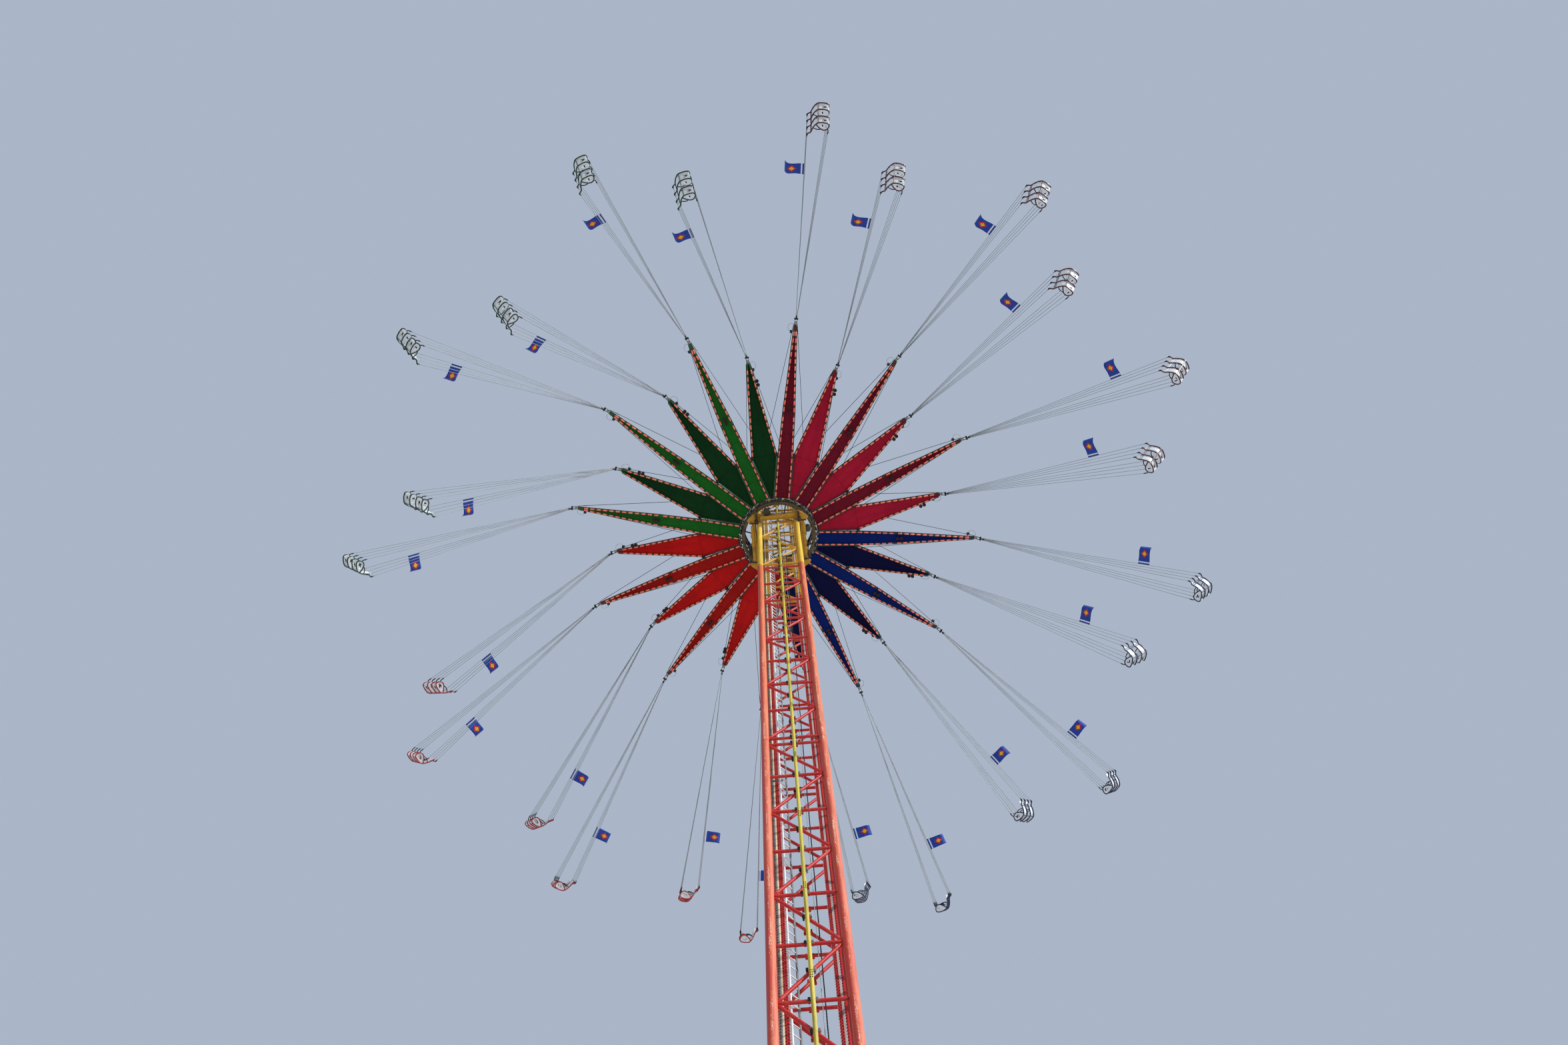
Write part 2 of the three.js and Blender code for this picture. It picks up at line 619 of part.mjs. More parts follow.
// The quarter's flange starts beside its first arm's panel and ends beside the next quarter's
function quarterFlange(quarter) {
  const count = ARM_COUNT / 4;
  const first = quarter * count;
  const corners = Array.from({ length: count }, (_, i) => armAngle(first + i - 0.5));
  const start = armAngle(first) - radians(QUARTER_TURN - QUARTER_GAP);
  const end = armAngle(first + count) - radians(QUARTER_TURN + QUARTER_GAP);
  const arc = (radius) => [start, ...corners, end].map((angle) => [
    radius * Math.cos(angle), radius * Math.sin(angle),
  ]);
  const outer = arc(FLANGE_OUTER);
  const inner = arc(HUB_RING.outer + SEAT_GAP);
  const bottom = STAR_HEIGHT - HUB_DROP + FLANGE_LIFT;
  return extrude(polygon([...outer, ...inner.reverse()]), FLANGE_HEIGHT).translate(0, 0, bottom);
}

function buildQuarters() {
  const count = ARM_COUNT / 4;
  QUARTERS.forEach(({ name, paint }, quarter) => {
    const pieces = [quarterFlange(quarter)];
    for (let i = quarter * count; i < (quarter + 1) * count; i += 1) {
      pieces.push(...armPieces(armKind(i)).map((piece) => piece.rotateZ(armAngle(i))));
    }
    addMesh(`arms_${name}`, unite(pieces), paint);
  });
}

// Chairs, modelled hanging straight down from the hinge and facing +Y

function chairPoint(x, [y, z]) {
  return new THREE.Vector3(x, y, z - CHAIR_REACH);
}

function cableTop(index, side) {
  return new THREE.Vector3(CABLE_TOPS[index], side * CABLE_SPLIT, -YOKE.length);
}

function chairCables() {
  const cables = [];
  FRAME_PLACES.forEach((x, index) => {
    cables.push(rope(cableTop(index, 1), chairPoint(x, FRONT_HOOK), CABLE_RADIUS));
    cables.push(rope(cableTop(index, -1), chairPoint(x, REAR_HOOK), CABLE_RADIUS));
  });
  return cables;
}

function chairYoke() {
  const pin = new THREE.CylinderGeometry(YOKE.pin, YOKE.pin, YOKE.pinLength, 6);
  pin.rotateY(radians(MID_SWING));
  const { stem, length } = YOKE;
  return [
    pin,
    block([-stem, stem], [-stem, stem], [-length, 0]),
    centredBlock(YOKE.spread, YOKE.depth, YOKE.bar, 0, 0, -length),
  ];
}

// Four upright side frames carry two seats, which two cross tubes join, and a lap bar over each seat
function chairSeats() {
  const pieces = FRAME_PLACES.map((x) => uprightPlate(FRAME_OUTLINE, FRAME_THICKNESS, x));
  for (const [low, high] of SEAT_PLACES) {
    const middle = (low + high) / 2;
    pieces.push(uprightPlate(ribbon(SEAT_LINE, SEAT_THICKNESS), high - low, middle));
    pieces.push(centredBlock(high - low, LAP_BAR.size, LAP_BAR.size, middle, LAP_BAR.y, LAP_BAR.z));
  }
  const gap = SEAT_PLACES[1][0] - SEAT_PLACES[0][1];
  for (const [y, z] of CROSS_TUBE.spots) {
    pieces.push(centredBlock(gap, CROSS_TUBE.size, CROSS_TUBE.size, 0, y, z));
  }
  return pieces.map((piece) => piece.translate(0, 0, -CHAIR_REACH));
}

// The flag flies backwards from the outer rear cable
function chairFlag() {
  const top = cableTop(3, -1);
  const foot = chairPoint(FRAME_PLACES[3], REAR_HOOK);
  const high = top.clone().lerp(foot, FLAG.from);
  const low = top.clone().lerp(foot, FLAG.to);
  const slope = (low.x - high.x) / (low.z - high.z);
  const outline = [
    [high.y, high.z], [low.y, low.z], [low.y - FLAG.fly, low.z], [high.y - FLAG.fly, high.z],
  ];
  const flag = uprightPlate(outline, FLAG.thickness, high.x - slope * high.z);
  const lean = new THREE.Matrix4();
  lean.elements[8] = slope;
  return flag.applyMatrix4(lean);
}

function chairGeometry() {
  const pieces = [...chairYoke(), ...chairCables(), ...chairSeats(), chairFlag()];
  return unite(pieces.map((piece) => piece.scale(METRE, METRE, METRE)));
}

function flightAngle({ mean, once, twice }, index) {
  const turn = index * ARM_PITCH;
  return mean
    + once[0] * Math.cos(radians(turn - once[1]))
    + twice[0] * Math.cos(radians(2 * turn - twice[1]));
}

// Heading of the swing plane and angle of the cable from the vertical, for one chair
function chairFlight(index) {
  const kind = armKind(index);
  const outward = Math.tan(radians(flightAngle(kind.swing, index)));
  const sideways = Math.tan(radians(flightAngle(kind.trail, index)));
  return {
    heading: armAngle(index) + Math.atan2(sideways, outward),
    lift: Math.atan(Math.hypot(outward, sideways)),
  };
}

function buildChairs() {
  const geometry = chairGeometry();
  for (let i = 0; i < ARM_COUNT; i += 1) {
    const { heading, lift } = chairFlight(i);
    const hanger = new THREE.Group();
    hanger.position.copy(polar(armKind(i).hanger, armAngle(i), STAR_HEIGHT));
    hanger.rotation.z = heading;
    ride.add(hanger);
    const name = `chair_${String(i + 1).padStart(2, '0')}`;
    const paint = QUARTERS[Math.floor(i / (ARM_COUNT / 4))].paint;
    const chair = addMesh(name, geometry, paint, hanger);
    chair.rotation.y = -lift;
  }
}

buildBaseFrame();
buildTower();
buildTowerHead();
buildGuideRails();
buildRacks();
buildLadder();
buildHoistRope();
buildCarriage();
buildHubFrame();
buildStays();
buildQuarters();
buildChairs();

export default ride;
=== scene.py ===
"""Dresses the tower chair swing ride, a 1:2 scale model in metres with +Z up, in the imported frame.

Pieces are made in metres of the full-size ride, and seat() brings each to the model's scale.
Bevels, walls and the heights of bands of paint are in the model's own metres.
"""

import functools
import json
import logging
import math
from collections.abc import Iterable, Iterator, Sequence
from contextlib import contextmanager
from dataclasses import dataclass
from enum import Enum

import bpy
from mathutils import Matrix, Vector


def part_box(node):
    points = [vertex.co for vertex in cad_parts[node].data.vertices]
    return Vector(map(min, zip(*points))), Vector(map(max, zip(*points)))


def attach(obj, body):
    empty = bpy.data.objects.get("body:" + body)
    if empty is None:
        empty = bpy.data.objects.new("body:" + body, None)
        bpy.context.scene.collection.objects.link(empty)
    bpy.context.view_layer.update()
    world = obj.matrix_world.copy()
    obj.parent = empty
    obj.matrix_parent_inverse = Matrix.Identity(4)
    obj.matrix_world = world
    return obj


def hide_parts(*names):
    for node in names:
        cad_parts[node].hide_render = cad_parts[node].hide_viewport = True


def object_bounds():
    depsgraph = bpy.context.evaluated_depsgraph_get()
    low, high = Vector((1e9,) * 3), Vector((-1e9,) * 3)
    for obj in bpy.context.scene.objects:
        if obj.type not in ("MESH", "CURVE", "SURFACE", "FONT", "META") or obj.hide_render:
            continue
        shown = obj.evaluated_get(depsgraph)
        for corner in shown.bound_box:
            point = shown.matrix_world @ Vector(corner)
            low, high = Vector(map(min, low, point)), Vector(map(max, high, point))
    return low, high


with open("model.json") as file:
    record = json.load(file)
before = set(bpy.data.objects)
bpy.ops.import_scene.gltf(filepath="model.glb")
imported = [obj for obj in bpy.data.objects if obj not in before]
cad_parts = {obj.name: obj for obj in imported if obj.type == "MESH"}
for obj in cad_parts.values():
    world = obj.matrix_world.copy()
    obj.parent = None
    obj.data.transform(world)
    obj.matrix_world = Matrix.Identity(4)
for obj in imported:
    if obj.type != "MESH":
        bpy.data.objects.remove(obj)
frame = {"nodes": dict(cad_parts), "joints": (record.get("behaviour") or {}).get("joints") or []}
CAD_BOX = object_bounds()

log = logging.getLogger("swing_ride")

# One metre of the full-size ride, in metres of this model
METRE = 0.5
# The gap between a piece and the one it stands on or beside
SLIT = 0.0006
# From the tower's axis to a leg's centre, and the legs' radius
LEG_OUT = 0.78
LEG_RADIUS = 0.108
# Widths of bevels, from the sharpest edges to the softest
CRISP, EASED, DULLED, SOFT = 0.002, 0.003, 0.004, 0.006
QUARTER_TURN = math.pi / 2
# The height of the hinges at the arms' tips, and the star's underside below them
HINGE_HEIGHT = 54.93
HUB_DROP = 1.84

Point = tuple[float, float, float]
Pair = tuple[float, float]
Spot = Sequence[float]
Piece = bpy.types.Object
Node = bpy.types.Node
Tree = bpy.types.NodeTree
Socket = bpy.types.NodeSocket
Colour = tuple[float, float, float, float]


# Handling of pieces


def let_go() -> None:
    """Leaves edit mode and deselects every object."""
    if bpy.context.mode != "OBJECT":
        bpy.ops.object.mode_set(mode="OBJECT")
    bpy.ops.object.select_all(action="DESELECT")


def grab(pieces: Sequence[Piece]) -> Piece:
    """Selects some pieces and makes the first one active.

    Args:
        pieces: the pieces to select.

    Returns:
        The first piece.
    """
    let_go()
    for piece in pieces:
        piece.select_set(True)
    bpy.context.view_layer.objects.active = pieces[0]
    return pieces[0]


@contextmanager
def at_the_bench(piece: Piece) -> Iterator[None]:
    """Opens a piece in edit mode with all of it selected.

    Args:
        piece: the piece to work on.
    """
    grab([piece])
    bpy.ops.object.mode_set(mode="EDIT")
    bpy.ops.mesh.select_all(action="SELECT")
    yield
    bpy.ops.object.mode_set(mode="OBJECT")


def settle(piece: Piece) -> Piece:
    """Puts a piece's place, turn and size into its mesh.

    Args:
        piece: the piece to settle.

    Returns:
        The piece, with its object at the origin.
    """
    grab([piece])
    bpy.ops.object.transform_apply(location=True, rotation=True, scale=True)
    return piece


def soften(piece: Piece, width: float, segments: int = 1) -> Piece:
    """Rounds a piece's sharp edges with an applied bevel.

    Args:
        piece: the piece to round.
        width: the bevel's width in the model's metres.
        segments: the number of faces across the bevel.

    Returns:
        The piece.
    """
    grab([piece])
    bevel = piece.modifiers.new("soften", "BEVEL")
    bevel.width = width / METRE
    bevel.segments = segments
    bevel.limit_method = "ANGLE"
    bpy.ops.object.modifier_apply(modifier=bevel.name)
    return piece


def thicken(piece: Piece, thickness: float, offset: float = 0.0) -> Piece:
    """Gives a surface a wall with an applied Solidify.

    Args:
        piece: the open surface.
        thickness: the wall's thickness in the model's metres.
        offset: the side the wall grows to, from -1 to 1.

    Returns:
        The piece.
    """
    grab([piece])
    wall = piece.modifiers.new("wall", "SOLIDIFY")
    wall.thickness = thickness / METRE
    wall.offset = offset
    bpy.ops.object.modifier_apply(modifier=wall.name)
    return piece


def face_out(piece: Piece) -> None:
    """Turns all of a piece's faces the same way."""
    with at_the_bench(piece):
        bpy.ops.mesh.normals_make_consistent(inside=False)


def smoothed(piece: Piece, degrees: float = 35.0) -> Piece:
    """Shades a piece smooth, apart from its sharpest edges.

    Args:
        piece: the piece.
        degrees: the angle from which an edge stays sharp.

    Returns:
        The piece.
    """
    grab([piece])
    bpy.ops.object.shade_smooth_by_angle(angle=math.radians(degrees))
    return piece


def moved(piece: Piece, place: Matrix) -> Piece:
    """Moves a piece's mesh by a matrix and returns the piece."""
    piece.data.transform(place)
    return piece


def copy_of(piece: Piece, name: str, place: Matrix) -> Piece:
    """Copies a piece with its own mesh.

    Args:
        piece: the piece to copy.
        name: the copy's name.
        place: where the copy goes, from the first piece's place.

    Returns:
        The copy.
    """
    twin = piece.copy()
    twin.data = piece.data.copy()
    twin.name = name
    twin.data.name = name
    twin.data.transform(place)
    bpy.context.scene.collection.objects.link(twin)
    return twin


def discard(pieces: Iterable[Piece]) -> None:
    """Removes patterns that were only there to be copied."""
    for piece in pieces:
        bpy.data.objects.remove(piece)


def join(name: str, pieces: Sequence[Piece]) -> Piece:
    """Joins pieces into one.

    Args:
        name: the joined piece's name.
        pieces: the pieces to join.

    Returns:
        The joined piece.
    """
    whole = grab(pieces)
    if len(pieces) > 1:
        bpy.ops.object.join()
    whole.name = name
    whole.data.name = name
    return whole


def strew(name: str, pattern: Piece, places: Iterable[Matrix]) -> Piece:
    """Copies a pattern to many places as one piece and removes the pattern.

    Args:
        name: the new piece's name.
        pattern: the piece that is copied.
        places: a matrix for each copy.

    Returns:
        The joined copies.
    """
    copies = [copy_of(pattern, name, place) for place in places]
    discard([pattern])
    return join(name, copies)


def deliver(piece: Piece, body: str, slot: str, *nodes: str) -> Piece:
    """Smooths a finished piece and seats it."""
    return seat(smoothed(piece), body, slot, *nodes)


def seat(piece: Piece, body: str, slot: str, *nodes: str) -> Piece:
    """Brings a piece to the model's scale, seats it on its body and reports it.

    Args:
        piece: the finished piece.
        body: the CAD body that it moves with.
        slot: the record's material slot of its finish, not used.
        nodes: the CAD nodes that it stands for.

    Returns:
        The piece.
    """
    moved(piece, Matrix.Scale(METRE, 4))
    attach(piece, body)
    if nodes:
        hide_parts(*nodes)
    log.info("%s: %d faces, on %s", piece.name, len(piece.data.polygons), body)
    return piece


# Shapes


def shift(by: Spot) -> Matrix:
    """A move by three numbers."""
    return Matrix.Translation(by)


def raised(heights: Iterable[float]) -> list[Matrix]:
    """The moves that lift a pattern to some heights."""
    return [shift((0, 0, height)) for height in heights]


def turn_z(angle: float) -> Matrix:
    """A turn about the tower's axis, in radians."""
    return Matrix.Rotation(angle, 4, "Z")


def along(start: Vector, end: Vector) -> Matrix:
    """The frame of a member between two points.

    Args:
        start: one end.
        end: the other end.

    Returns:
        A matrix at the middle, with Z along the member and X level.
    """
    axis = (end - start).normalized()
    level = axis.cross(Vector((0, 0, 1)))
    if level.length < 1e-6:
        level = Vector((1, 0, 0))
    level.normalize()
    other = axis.cross(level)
    turn = Matrix((level, other, axis)).transposed().to_4x4()
    return shift((start + end) / 2) @ turn


def block(size: Spot, centre: Spot, bevel: float = 0.0) -> Piece:
    """A box with softened edges.

    Args:
        size: its width, depth and height.
        centre: its middle.
        bevel: the width of the bevel, or 0 for sharp edges.

    Returns:
        The box.
    """
    let_go()
    bpy.ops.mesh.primitive_cube_add(size=1.0, location=centre, scale=size)
    piece = settle(bpy.context.object)
    return soften(piece, bevel) if bevel else piece


def strip(start: Spot, end: Spot, width: float, depth: float, bevel: float = 0.0) -> Piece:
    """A bar of flat section between two points.

    Args:
        start: one end.
        end: the other end.
        width: its size across, measured level.
        depth: its size at right angles to that.
        bevel: the width of the bevel, or 0 for sharp edges.

    Returns:
        The bar.
    """
    head, foot = Vector(start), Vector(end)
    piece = block((width, depth, (foot - head).length), (0, 0, 0), bevel)
    return moved(piece, along(head, foot))


def bar(start: Spot, end: Spot, radius: float, sides: int = 12) -> Piece:
    """A round bar between two points.

    Args:
        start: one end.
        end: the other end.
        radius: its radius.
        sides: the number of faces round it.

    Returns:
        The bar.
    """
    head, foot = Vector(start), Vector(end)
    let_go()
    bpy.ops.mesh.primitive_cylinder_add(
        vertices=sides, radius=radius, depth=(foot - head).length, location=(0, 0, 0)
    )
    return moved(bpy.context.object, along(head, foot))


def ring(
    inner: float, outer: float, bottom: float, top: float, steps: int = 96, bevel: float = 0.0
) -> Piece:
    """A flat ring round the tower's axis, spun from its section.

    Args:
        inner: the inner radius.
        outer: the outer radius.
        bottom: the lower height.
        top: the upper height.
        steps: the number of faces round it.
        bevel: the width of the bevel, or 0 for sharp edges.

    Returns:
        The ring.
    """
    let_go()
    bpy.ops.mesh.primitive_plane_add(
        size=1.0,
        location=((inner + outer) / 2, 0, (bottom + top) / 2),
        rotation=(math.pi / 2, 0, 0),
    )
    bpy.context.object.scale = (outer - inner, top - bottom, 1)
    piece = settle(bpy.context.object)
    with at_the_bench(piece):
        bpy.ops.mesh.delete(type="ONLY_FACE")
        bpy.ops.mesh.select_all(action="SELECT")
        bpy.ops.mesh.spin(steps=steps, angle=2 * math.pi, center=(0, 0, 0), axis=(0, 0, 1))
        bpy.ops.mesh.select_all(action="SELECT")
        bpy.ops.mesh.remove_doubles(threshold=1e-5)
    face_out(piece)
    return soften(piece, bevel) if bevel else piece


def plate(outline: Sequence[Pair], bottom: float, top: float, bevel: float = 0.0) -> Piece:
    """A flat plate of any outline, extruded upwards.

    Args:
        outline: its corners in plan.
        bottom: its lower height.
        top: its upper height.
        bevel: the width of the bevel, or 0 for sharp edges.

    Returns:
        The plate.
    """
    let_go()
    bpy.ops.mesh.primitive_circle_add(vertices=len(outline), radius=1, fill_type="NGON")
    piece = bpy.context.object
    for vertex, (x, y) in zip(piece.data.vertices, outline):
        vertex.co = (x, y, bottom)
    with at_the_bench(piece):
        bpy.ops.mesh.extrude_region_move(TRANSFORM_OT_translate={"value": (0, 0, top - bottom)})
    face_out(piece)
    return soften(piece, bevel) if bevel else piece


def bent_tube(points: Sequence[Spot], radius: float, fine: int = 3) -> Piece:
    """A tube bent smoothly past the given points.

    Args:
        points: the points that steer its centre line.
        radius: its radius.
        fine: the number of steps between points.

    Returns:
        The tube, as a mesh.
    """
    curve = bpy.data.curves.new("bent_tube", "CURVE")
    curve.dimensions = "3D"
    curve.bevel_depth = radius
    curve.bevel_resolution = 1
    curve.use_fill_caps = True
    spline = curve.splines.new("NURBS")
    spline.points.add(len(points) - 1)
    for place, point in zip(spline.points, points):
        place.co = (*point, 1.0)
    spline.order_u = 3
    spline.use_endpoint_u = True
    spline.resolution_u = fine
    piece = bpy.data.objects.new("bent_tube", curve)
    bpy.context.scene.collection.objects.link(piece)
    grab([piece])
    bpy.ops.object.convert(target="MESH")
    return bpy.context.object


def nosed(start: Spot, end: Spot, radius: float, nose: float) -> Piece:
    """A round tube that narrows at both ends.

    Args:
        start: one end.
        end: the other end.
        radius: its radius.
        nose: the length over which each end narrows.

    Returns:
        The tube.
    """
    head, foot = Vector(start), Vector(end)
    reach = (foot - head).length / 2 - nose
    parts = [bar((0, 0, -reach), (0, 0, reach), radius)]
    for side in (-1, 1):
        bpy.ops.mesh.primitive_cone_add(
            vertices=12, radius1=radius, radius2=radius * 0.45, depth=nose,
            location=(0, 0, side * (reach + nose / 2)),
            rotation=(0 if side > 0 else math.pi, 0, 0),
        )
        parts.append(settle(bpy.context.object))
    return moved(join("tube", parts), along(head, foot))


def eye(radius: float, wire: float, place: Matrix) -> Piece:
    """A small ring of round wire, standing in the XZ plane of its place.

    Args:
        radius: the ring's radius.
        wire: the wire's radius.
        place: where it goes.

    Returns:
        The ring.
    """
    let_go()
    bpy.ops.mesh.primitive_torus_add(
        major_segments=10, minor_segments=5, major_radius=radius, minor_radius=wire,
        rotation=(math.pi / 2, 0, 0),
    )
    return moved(settle(bpy.context.object), place)


def bolt(radius: float, height: float) -> Piece:
    """A hexagon bolt head on a washer, standing on the origin along +Z.

    Args:
        radius: the head's radius.
        height: its height with the washer.

    Returns:
        The bolt.
    """
    washer = bar((0, 0, 0), (0, 0, height / 4), radius * 1.3, 10)
    head = bar((0, 0, height / 4), (0, 0, height), radius, 6)
    return join("bolt", [washer, head])


# Finishes


def paint_hex(code: int) -> Colour:
    """Mixes a colour in Blender's linear values.

    Args:
        code: its hex code.

    Returns:
        The colour.
    """
    shades = [(code >> place & 255) / 255 for place in (16, 8, 0)]
    linear = [s / 12.92 if s <= 0.04045 else ((s + 0.055) / 1.055) ** 2.4 for s in shades]
    return (linear[0], linear[1], linear[2], 1.0)


class Board:
    """A shader tree, with short calls that add nodes and wire them."""

    def __init__(self, tree: Tree) -> None:
        """Takes the tree to work on."""
        self.tree = tree

    def node(self, kind: str, settings: dict | None = None, inputs: dict | None = None) -> Node:
        """Adds a node.

        Args:
            kind: the node's type.
            settings: its properties by name.
            inputs: its inputs by name or number, each a value or a socket to wire.

        Returns:
            The node.
        """
        node = self.tree.nodes.new(kind)
        for name, value in (settings or {}).items():
            setattr(node, name, value)
        return self.feed(node, inputs or {})

    def feed(self, node: Node, inputs: dict) -> Node:
        """Sets or wires a node's inputs.

        Args:
            node: the node.
            inputs: its inputs by name or number, each a value or a socket to wire.

        Returns:
            The node.
        """
        for name, value in inputs.items():
            if isinstance(value, Socket):
                self.tree.links.new(value, node.inputs[name])
            else:
                node.inputs[name].default_value = value
        return node

    def surface(self, inputs: dict) -> None:
        """Sets or wires the inputs of a material's shader."""
        self.feed(self.tree.nodes["Principled BSDF"], inputs)

    def group(self, tree: Tree, inputs: dict) -> Sequence[Socket]:
        """Adds a node group with its inputs and returns its outputs."""
        return self.node("ShaderNodeGroup", {"node_tree": tree}, inputs).outputs

    def bump(self, height: Socket, distance: float) -> Socket:
        """The normal of a relief of the given depth."""
        inputs = {"Height": height, "Distance": distance}
        return self.node("ShaderNodeBump", inputs=inputs).outputs[0]

    def coordinates(self, kind: str = "Object") -> Socket:
        """The texture coordinates of that kind."""
        return self.node("ShaderNodeTexCoord").outputs[kind]

    def noise(self, vector: Socket, scale: object, detail: float = 4.0) -> Socket:
        """Noise from 0 to 1, at a scale that is a number or a socket."""
        inputs = {"Vector": vector, "Scale": scale, "Detail": detail, "Roughness": 0.6}
        return self.node("ShaderNodeTexNoise", inputs=inputs).outputs[0]

    def spread(
        self, value: Socket, low: float, high: float, start: float = 0.0, end: float = 1.0
    ) -> Socket:
        """The value's range from low to high, spread from start to end and held there."""
        inputs = {"Value": value, 1: low, 2: high, 3: start, 4: end}
        return self.node("ShaderNodeMapRange", inputs=inputs).outputs[0]

    def sum(self, operation: str, *values: object) -> Socket:
        """A sum on numbers or sockets, by its operation's name."""
        inputs = dict(enumerate(values))
        return self.node("ShaderNodeMath", {"operation": operation}, inputs).outputs[0]

    def times(self, first: object, second: object) -> Socket:
        """The product of two numbers or sockets."""
        return self.sum("MULTIPLY", first, second)

    def plus(self, first: object, second: object) -> Socket:
        """The first number or socket plus the second."""
        return self.sum("ADD", first, second)

    def minus(self, first: object, second: object) -> Socket:
        """The first number or socket less the second."""
        return self.sum("SUBTRACT", first, second)

    def mix(self, share: object, first: object, second: object) -> Socket:
        """A mix of two colours by a share of the second."""
        inputs = {0: share, 6: first, 7: second}
        return self.node("ShaderNodeMix", {"data_type": "RGBA"}, inputs).outputs[2]

    def shade(self, colour: object, factor: object) -> Socket:
        """A colour made lighter or darker by a factor."""
        settings = {"operation": "SCALE"}
        return self.node("ShaderNodeVectorMath", settings, {0: colour, 3: factor}).outputs[0]

    def split(self, vector: Socket) -> Sequence[Socket]:
        """The three parts of a vector."""
        return self.node("ShaderNodeSeparateXYZ", inputs={0: vector}).outputs

    def stretched(self, vector: Socket, scale: object) -> Socket:
        """Coordinates scaled by three numbers or a vector socket."""
        return self.node("ShaderNodeMapping", inputs={"Vector": vector, "Scale": scale}).outputs[0]


def new_group(name: str, takes: dict[str, str], gives: dict[str, str]) -> tuple[Tree, Board, Node]:
    """Starts a shader node group with named sockets.

    Args:
        name: the group's name.
        takes: its inputs, each name with Float or Color.
        gives: its outputs, in the same way.

    Returns:
        The tree, its board and its input node.
    """
    tree = bpy.data.node_groups.new(name, "ShaderNodeTree")
    for direction, sockets in (("INPUT", takes), ("OUTPUT", gives)):
        for socket, kind in sockets.items():
            tree.interface.new_socket(
                name=socket, in_out=direction, socket_type=f"NodeSocket{kind}"
            )
    return tree, Board(tree), tree.nodes.new("NodeGroupInput")


@functools.cache
def weathering() -> Tree:
    """Builds the group for paint that has faded, chipped and gathered dirt.

    Returns:
        The group, which takes a paint and what shows through it, and gives colour, roughness
        and relief.
    """
    takes = {"Paint": "Color", "Worn": "Color", "Wear": "Float", "Patch": "Float"}
    takes |= {"Stretch": "Float", "Roughness": "Float"}
    gives = {"Color": "Color", "Roughness": "Float", "Relief": "Float"}
    tree, board, given = new_group("weathering", takes, gives)
    here = board.coordinates()
    along_z = {0: 1.0, 1: 1.0, 2: given.outputs["Stretch"]}
    scale = board.node("ShaderNodeCombineXYZ", inputs=along_z)
    patch = board.noise(board.stretched(here, scale.outputs[0]), given.outputs["Patch"], 7.0)
    fine_scale = board.times(given.outputs["Patch"], 7.0)
    fine = board.noise(here, fine_scale, 5.0)
    broken = board.times(board.spread(patch, 0.5, 0.62), board.spread(fine, 0.4, 0.55, 0.35, 1.0))
    chips = board.times(broken, given.outputs["Wear"])
    faded = board.shade(given.outputs["Paint"], board.spread(fine, 0.3, 0.7, 0.82, 1.08))
    colour = board.mix(chips, faded, given.outputs["Worn"])
    dull = board.spread(fine, 0.3, 0.7, -0.07, 0.1)
    rough = board.plus(given.outputs["Roughness"], dull)
    rough = board.plus(rough, board.times(chips, 0.15))
    relief = board.minus(board.times(fine, 0.5), chips)
    board.node("NodeGroupOutput", inputs={"Color": colour, "Roughness": rough, "Relief": relief})
    return tree


@functools.cache
def taut_cloth() -> Tree:
    """Builds the group for coated cloth under tension, on a piece's UV map, with painted shade in
    its creases.

    Returns:
        The group, which takes a dye, the darker colour at its hems and the depth of its creases, and
        gives colour, roughness and relief.
    """
    takes = {"Dye": "Color", "Dirt": "Color", "Crease": "Float", "Roughness": "Float"}
    gives = {"Color": "Color", "Roughness": "Float", "Relief": "Float"}
    tree, board, given = new_group("taut_cloth", takes, gives)
    lay = board.coordinates("UV")
    length, width, _ = board.split(lay)
    folds = board.noise(board.stretched(lay, (3.0, 9.0, 1.0)), 1.6, 3.0)
    blotch = board.noise(board.stretched(lay, (7.0, 2.0, 1.0)), 2.2, 5.0)
    warp = board.sum("SINE", board.times(length, 5200.0))
    weft = board.sum("SINE", board.times(width, 900.0))
    weave = board.times(warp, weft)
    tone = board.spread(blotch, 0.3, 0.7, 0.86, 1.08)
    # Painted shade: the cloth is darker where its creases sink
    tone = board.times(tone, board.spread(folds, 0.35, 0.65, 0.9, 1.06))
    bays = board.times(length, 3.0)
    step = board.sum("SINE", board.times(board.sum("FLOOR", bays), 2.3))
    tone = board.times(tone, board.spread(step, -1.0, 1.0, 0.9, 1.06))
    from_seam = board.sum("ABSOLUTE", board.minus(board.sum("FRACT", bays), 0.5))
    tone = board.times(tone, board.spread(from_seam, 0.004, 0.012, 0.72, 1.0))
    dyed = board.shade(given.outputs["Dye"], tone)
    # Darker towards the hems, in patches
    edge = board.sum("ABSOLUTE", board.minus(width, 0.5))
    hem = board.times(board.spread(edge, 0.36, 0.5), board.spread(blotch, 0.35, 0.6))
    colour = board.mix(board.times(hem, 0.55), dyed, given.outputs["Dirt"])
    rough = board.plus(given.outputs["Roughness"], board.spread(folds, 0.3, 0.7, -0.05, 0.07))
    creases = board.times(folds, given.outputs["Crease"])
    relief = board.plus(creases, board.times(weave, 0.01))
    board.node("NodeGroupOutput", inputs={"Color": colour, "Roughness": rough, "Relief": relief})
    return tree


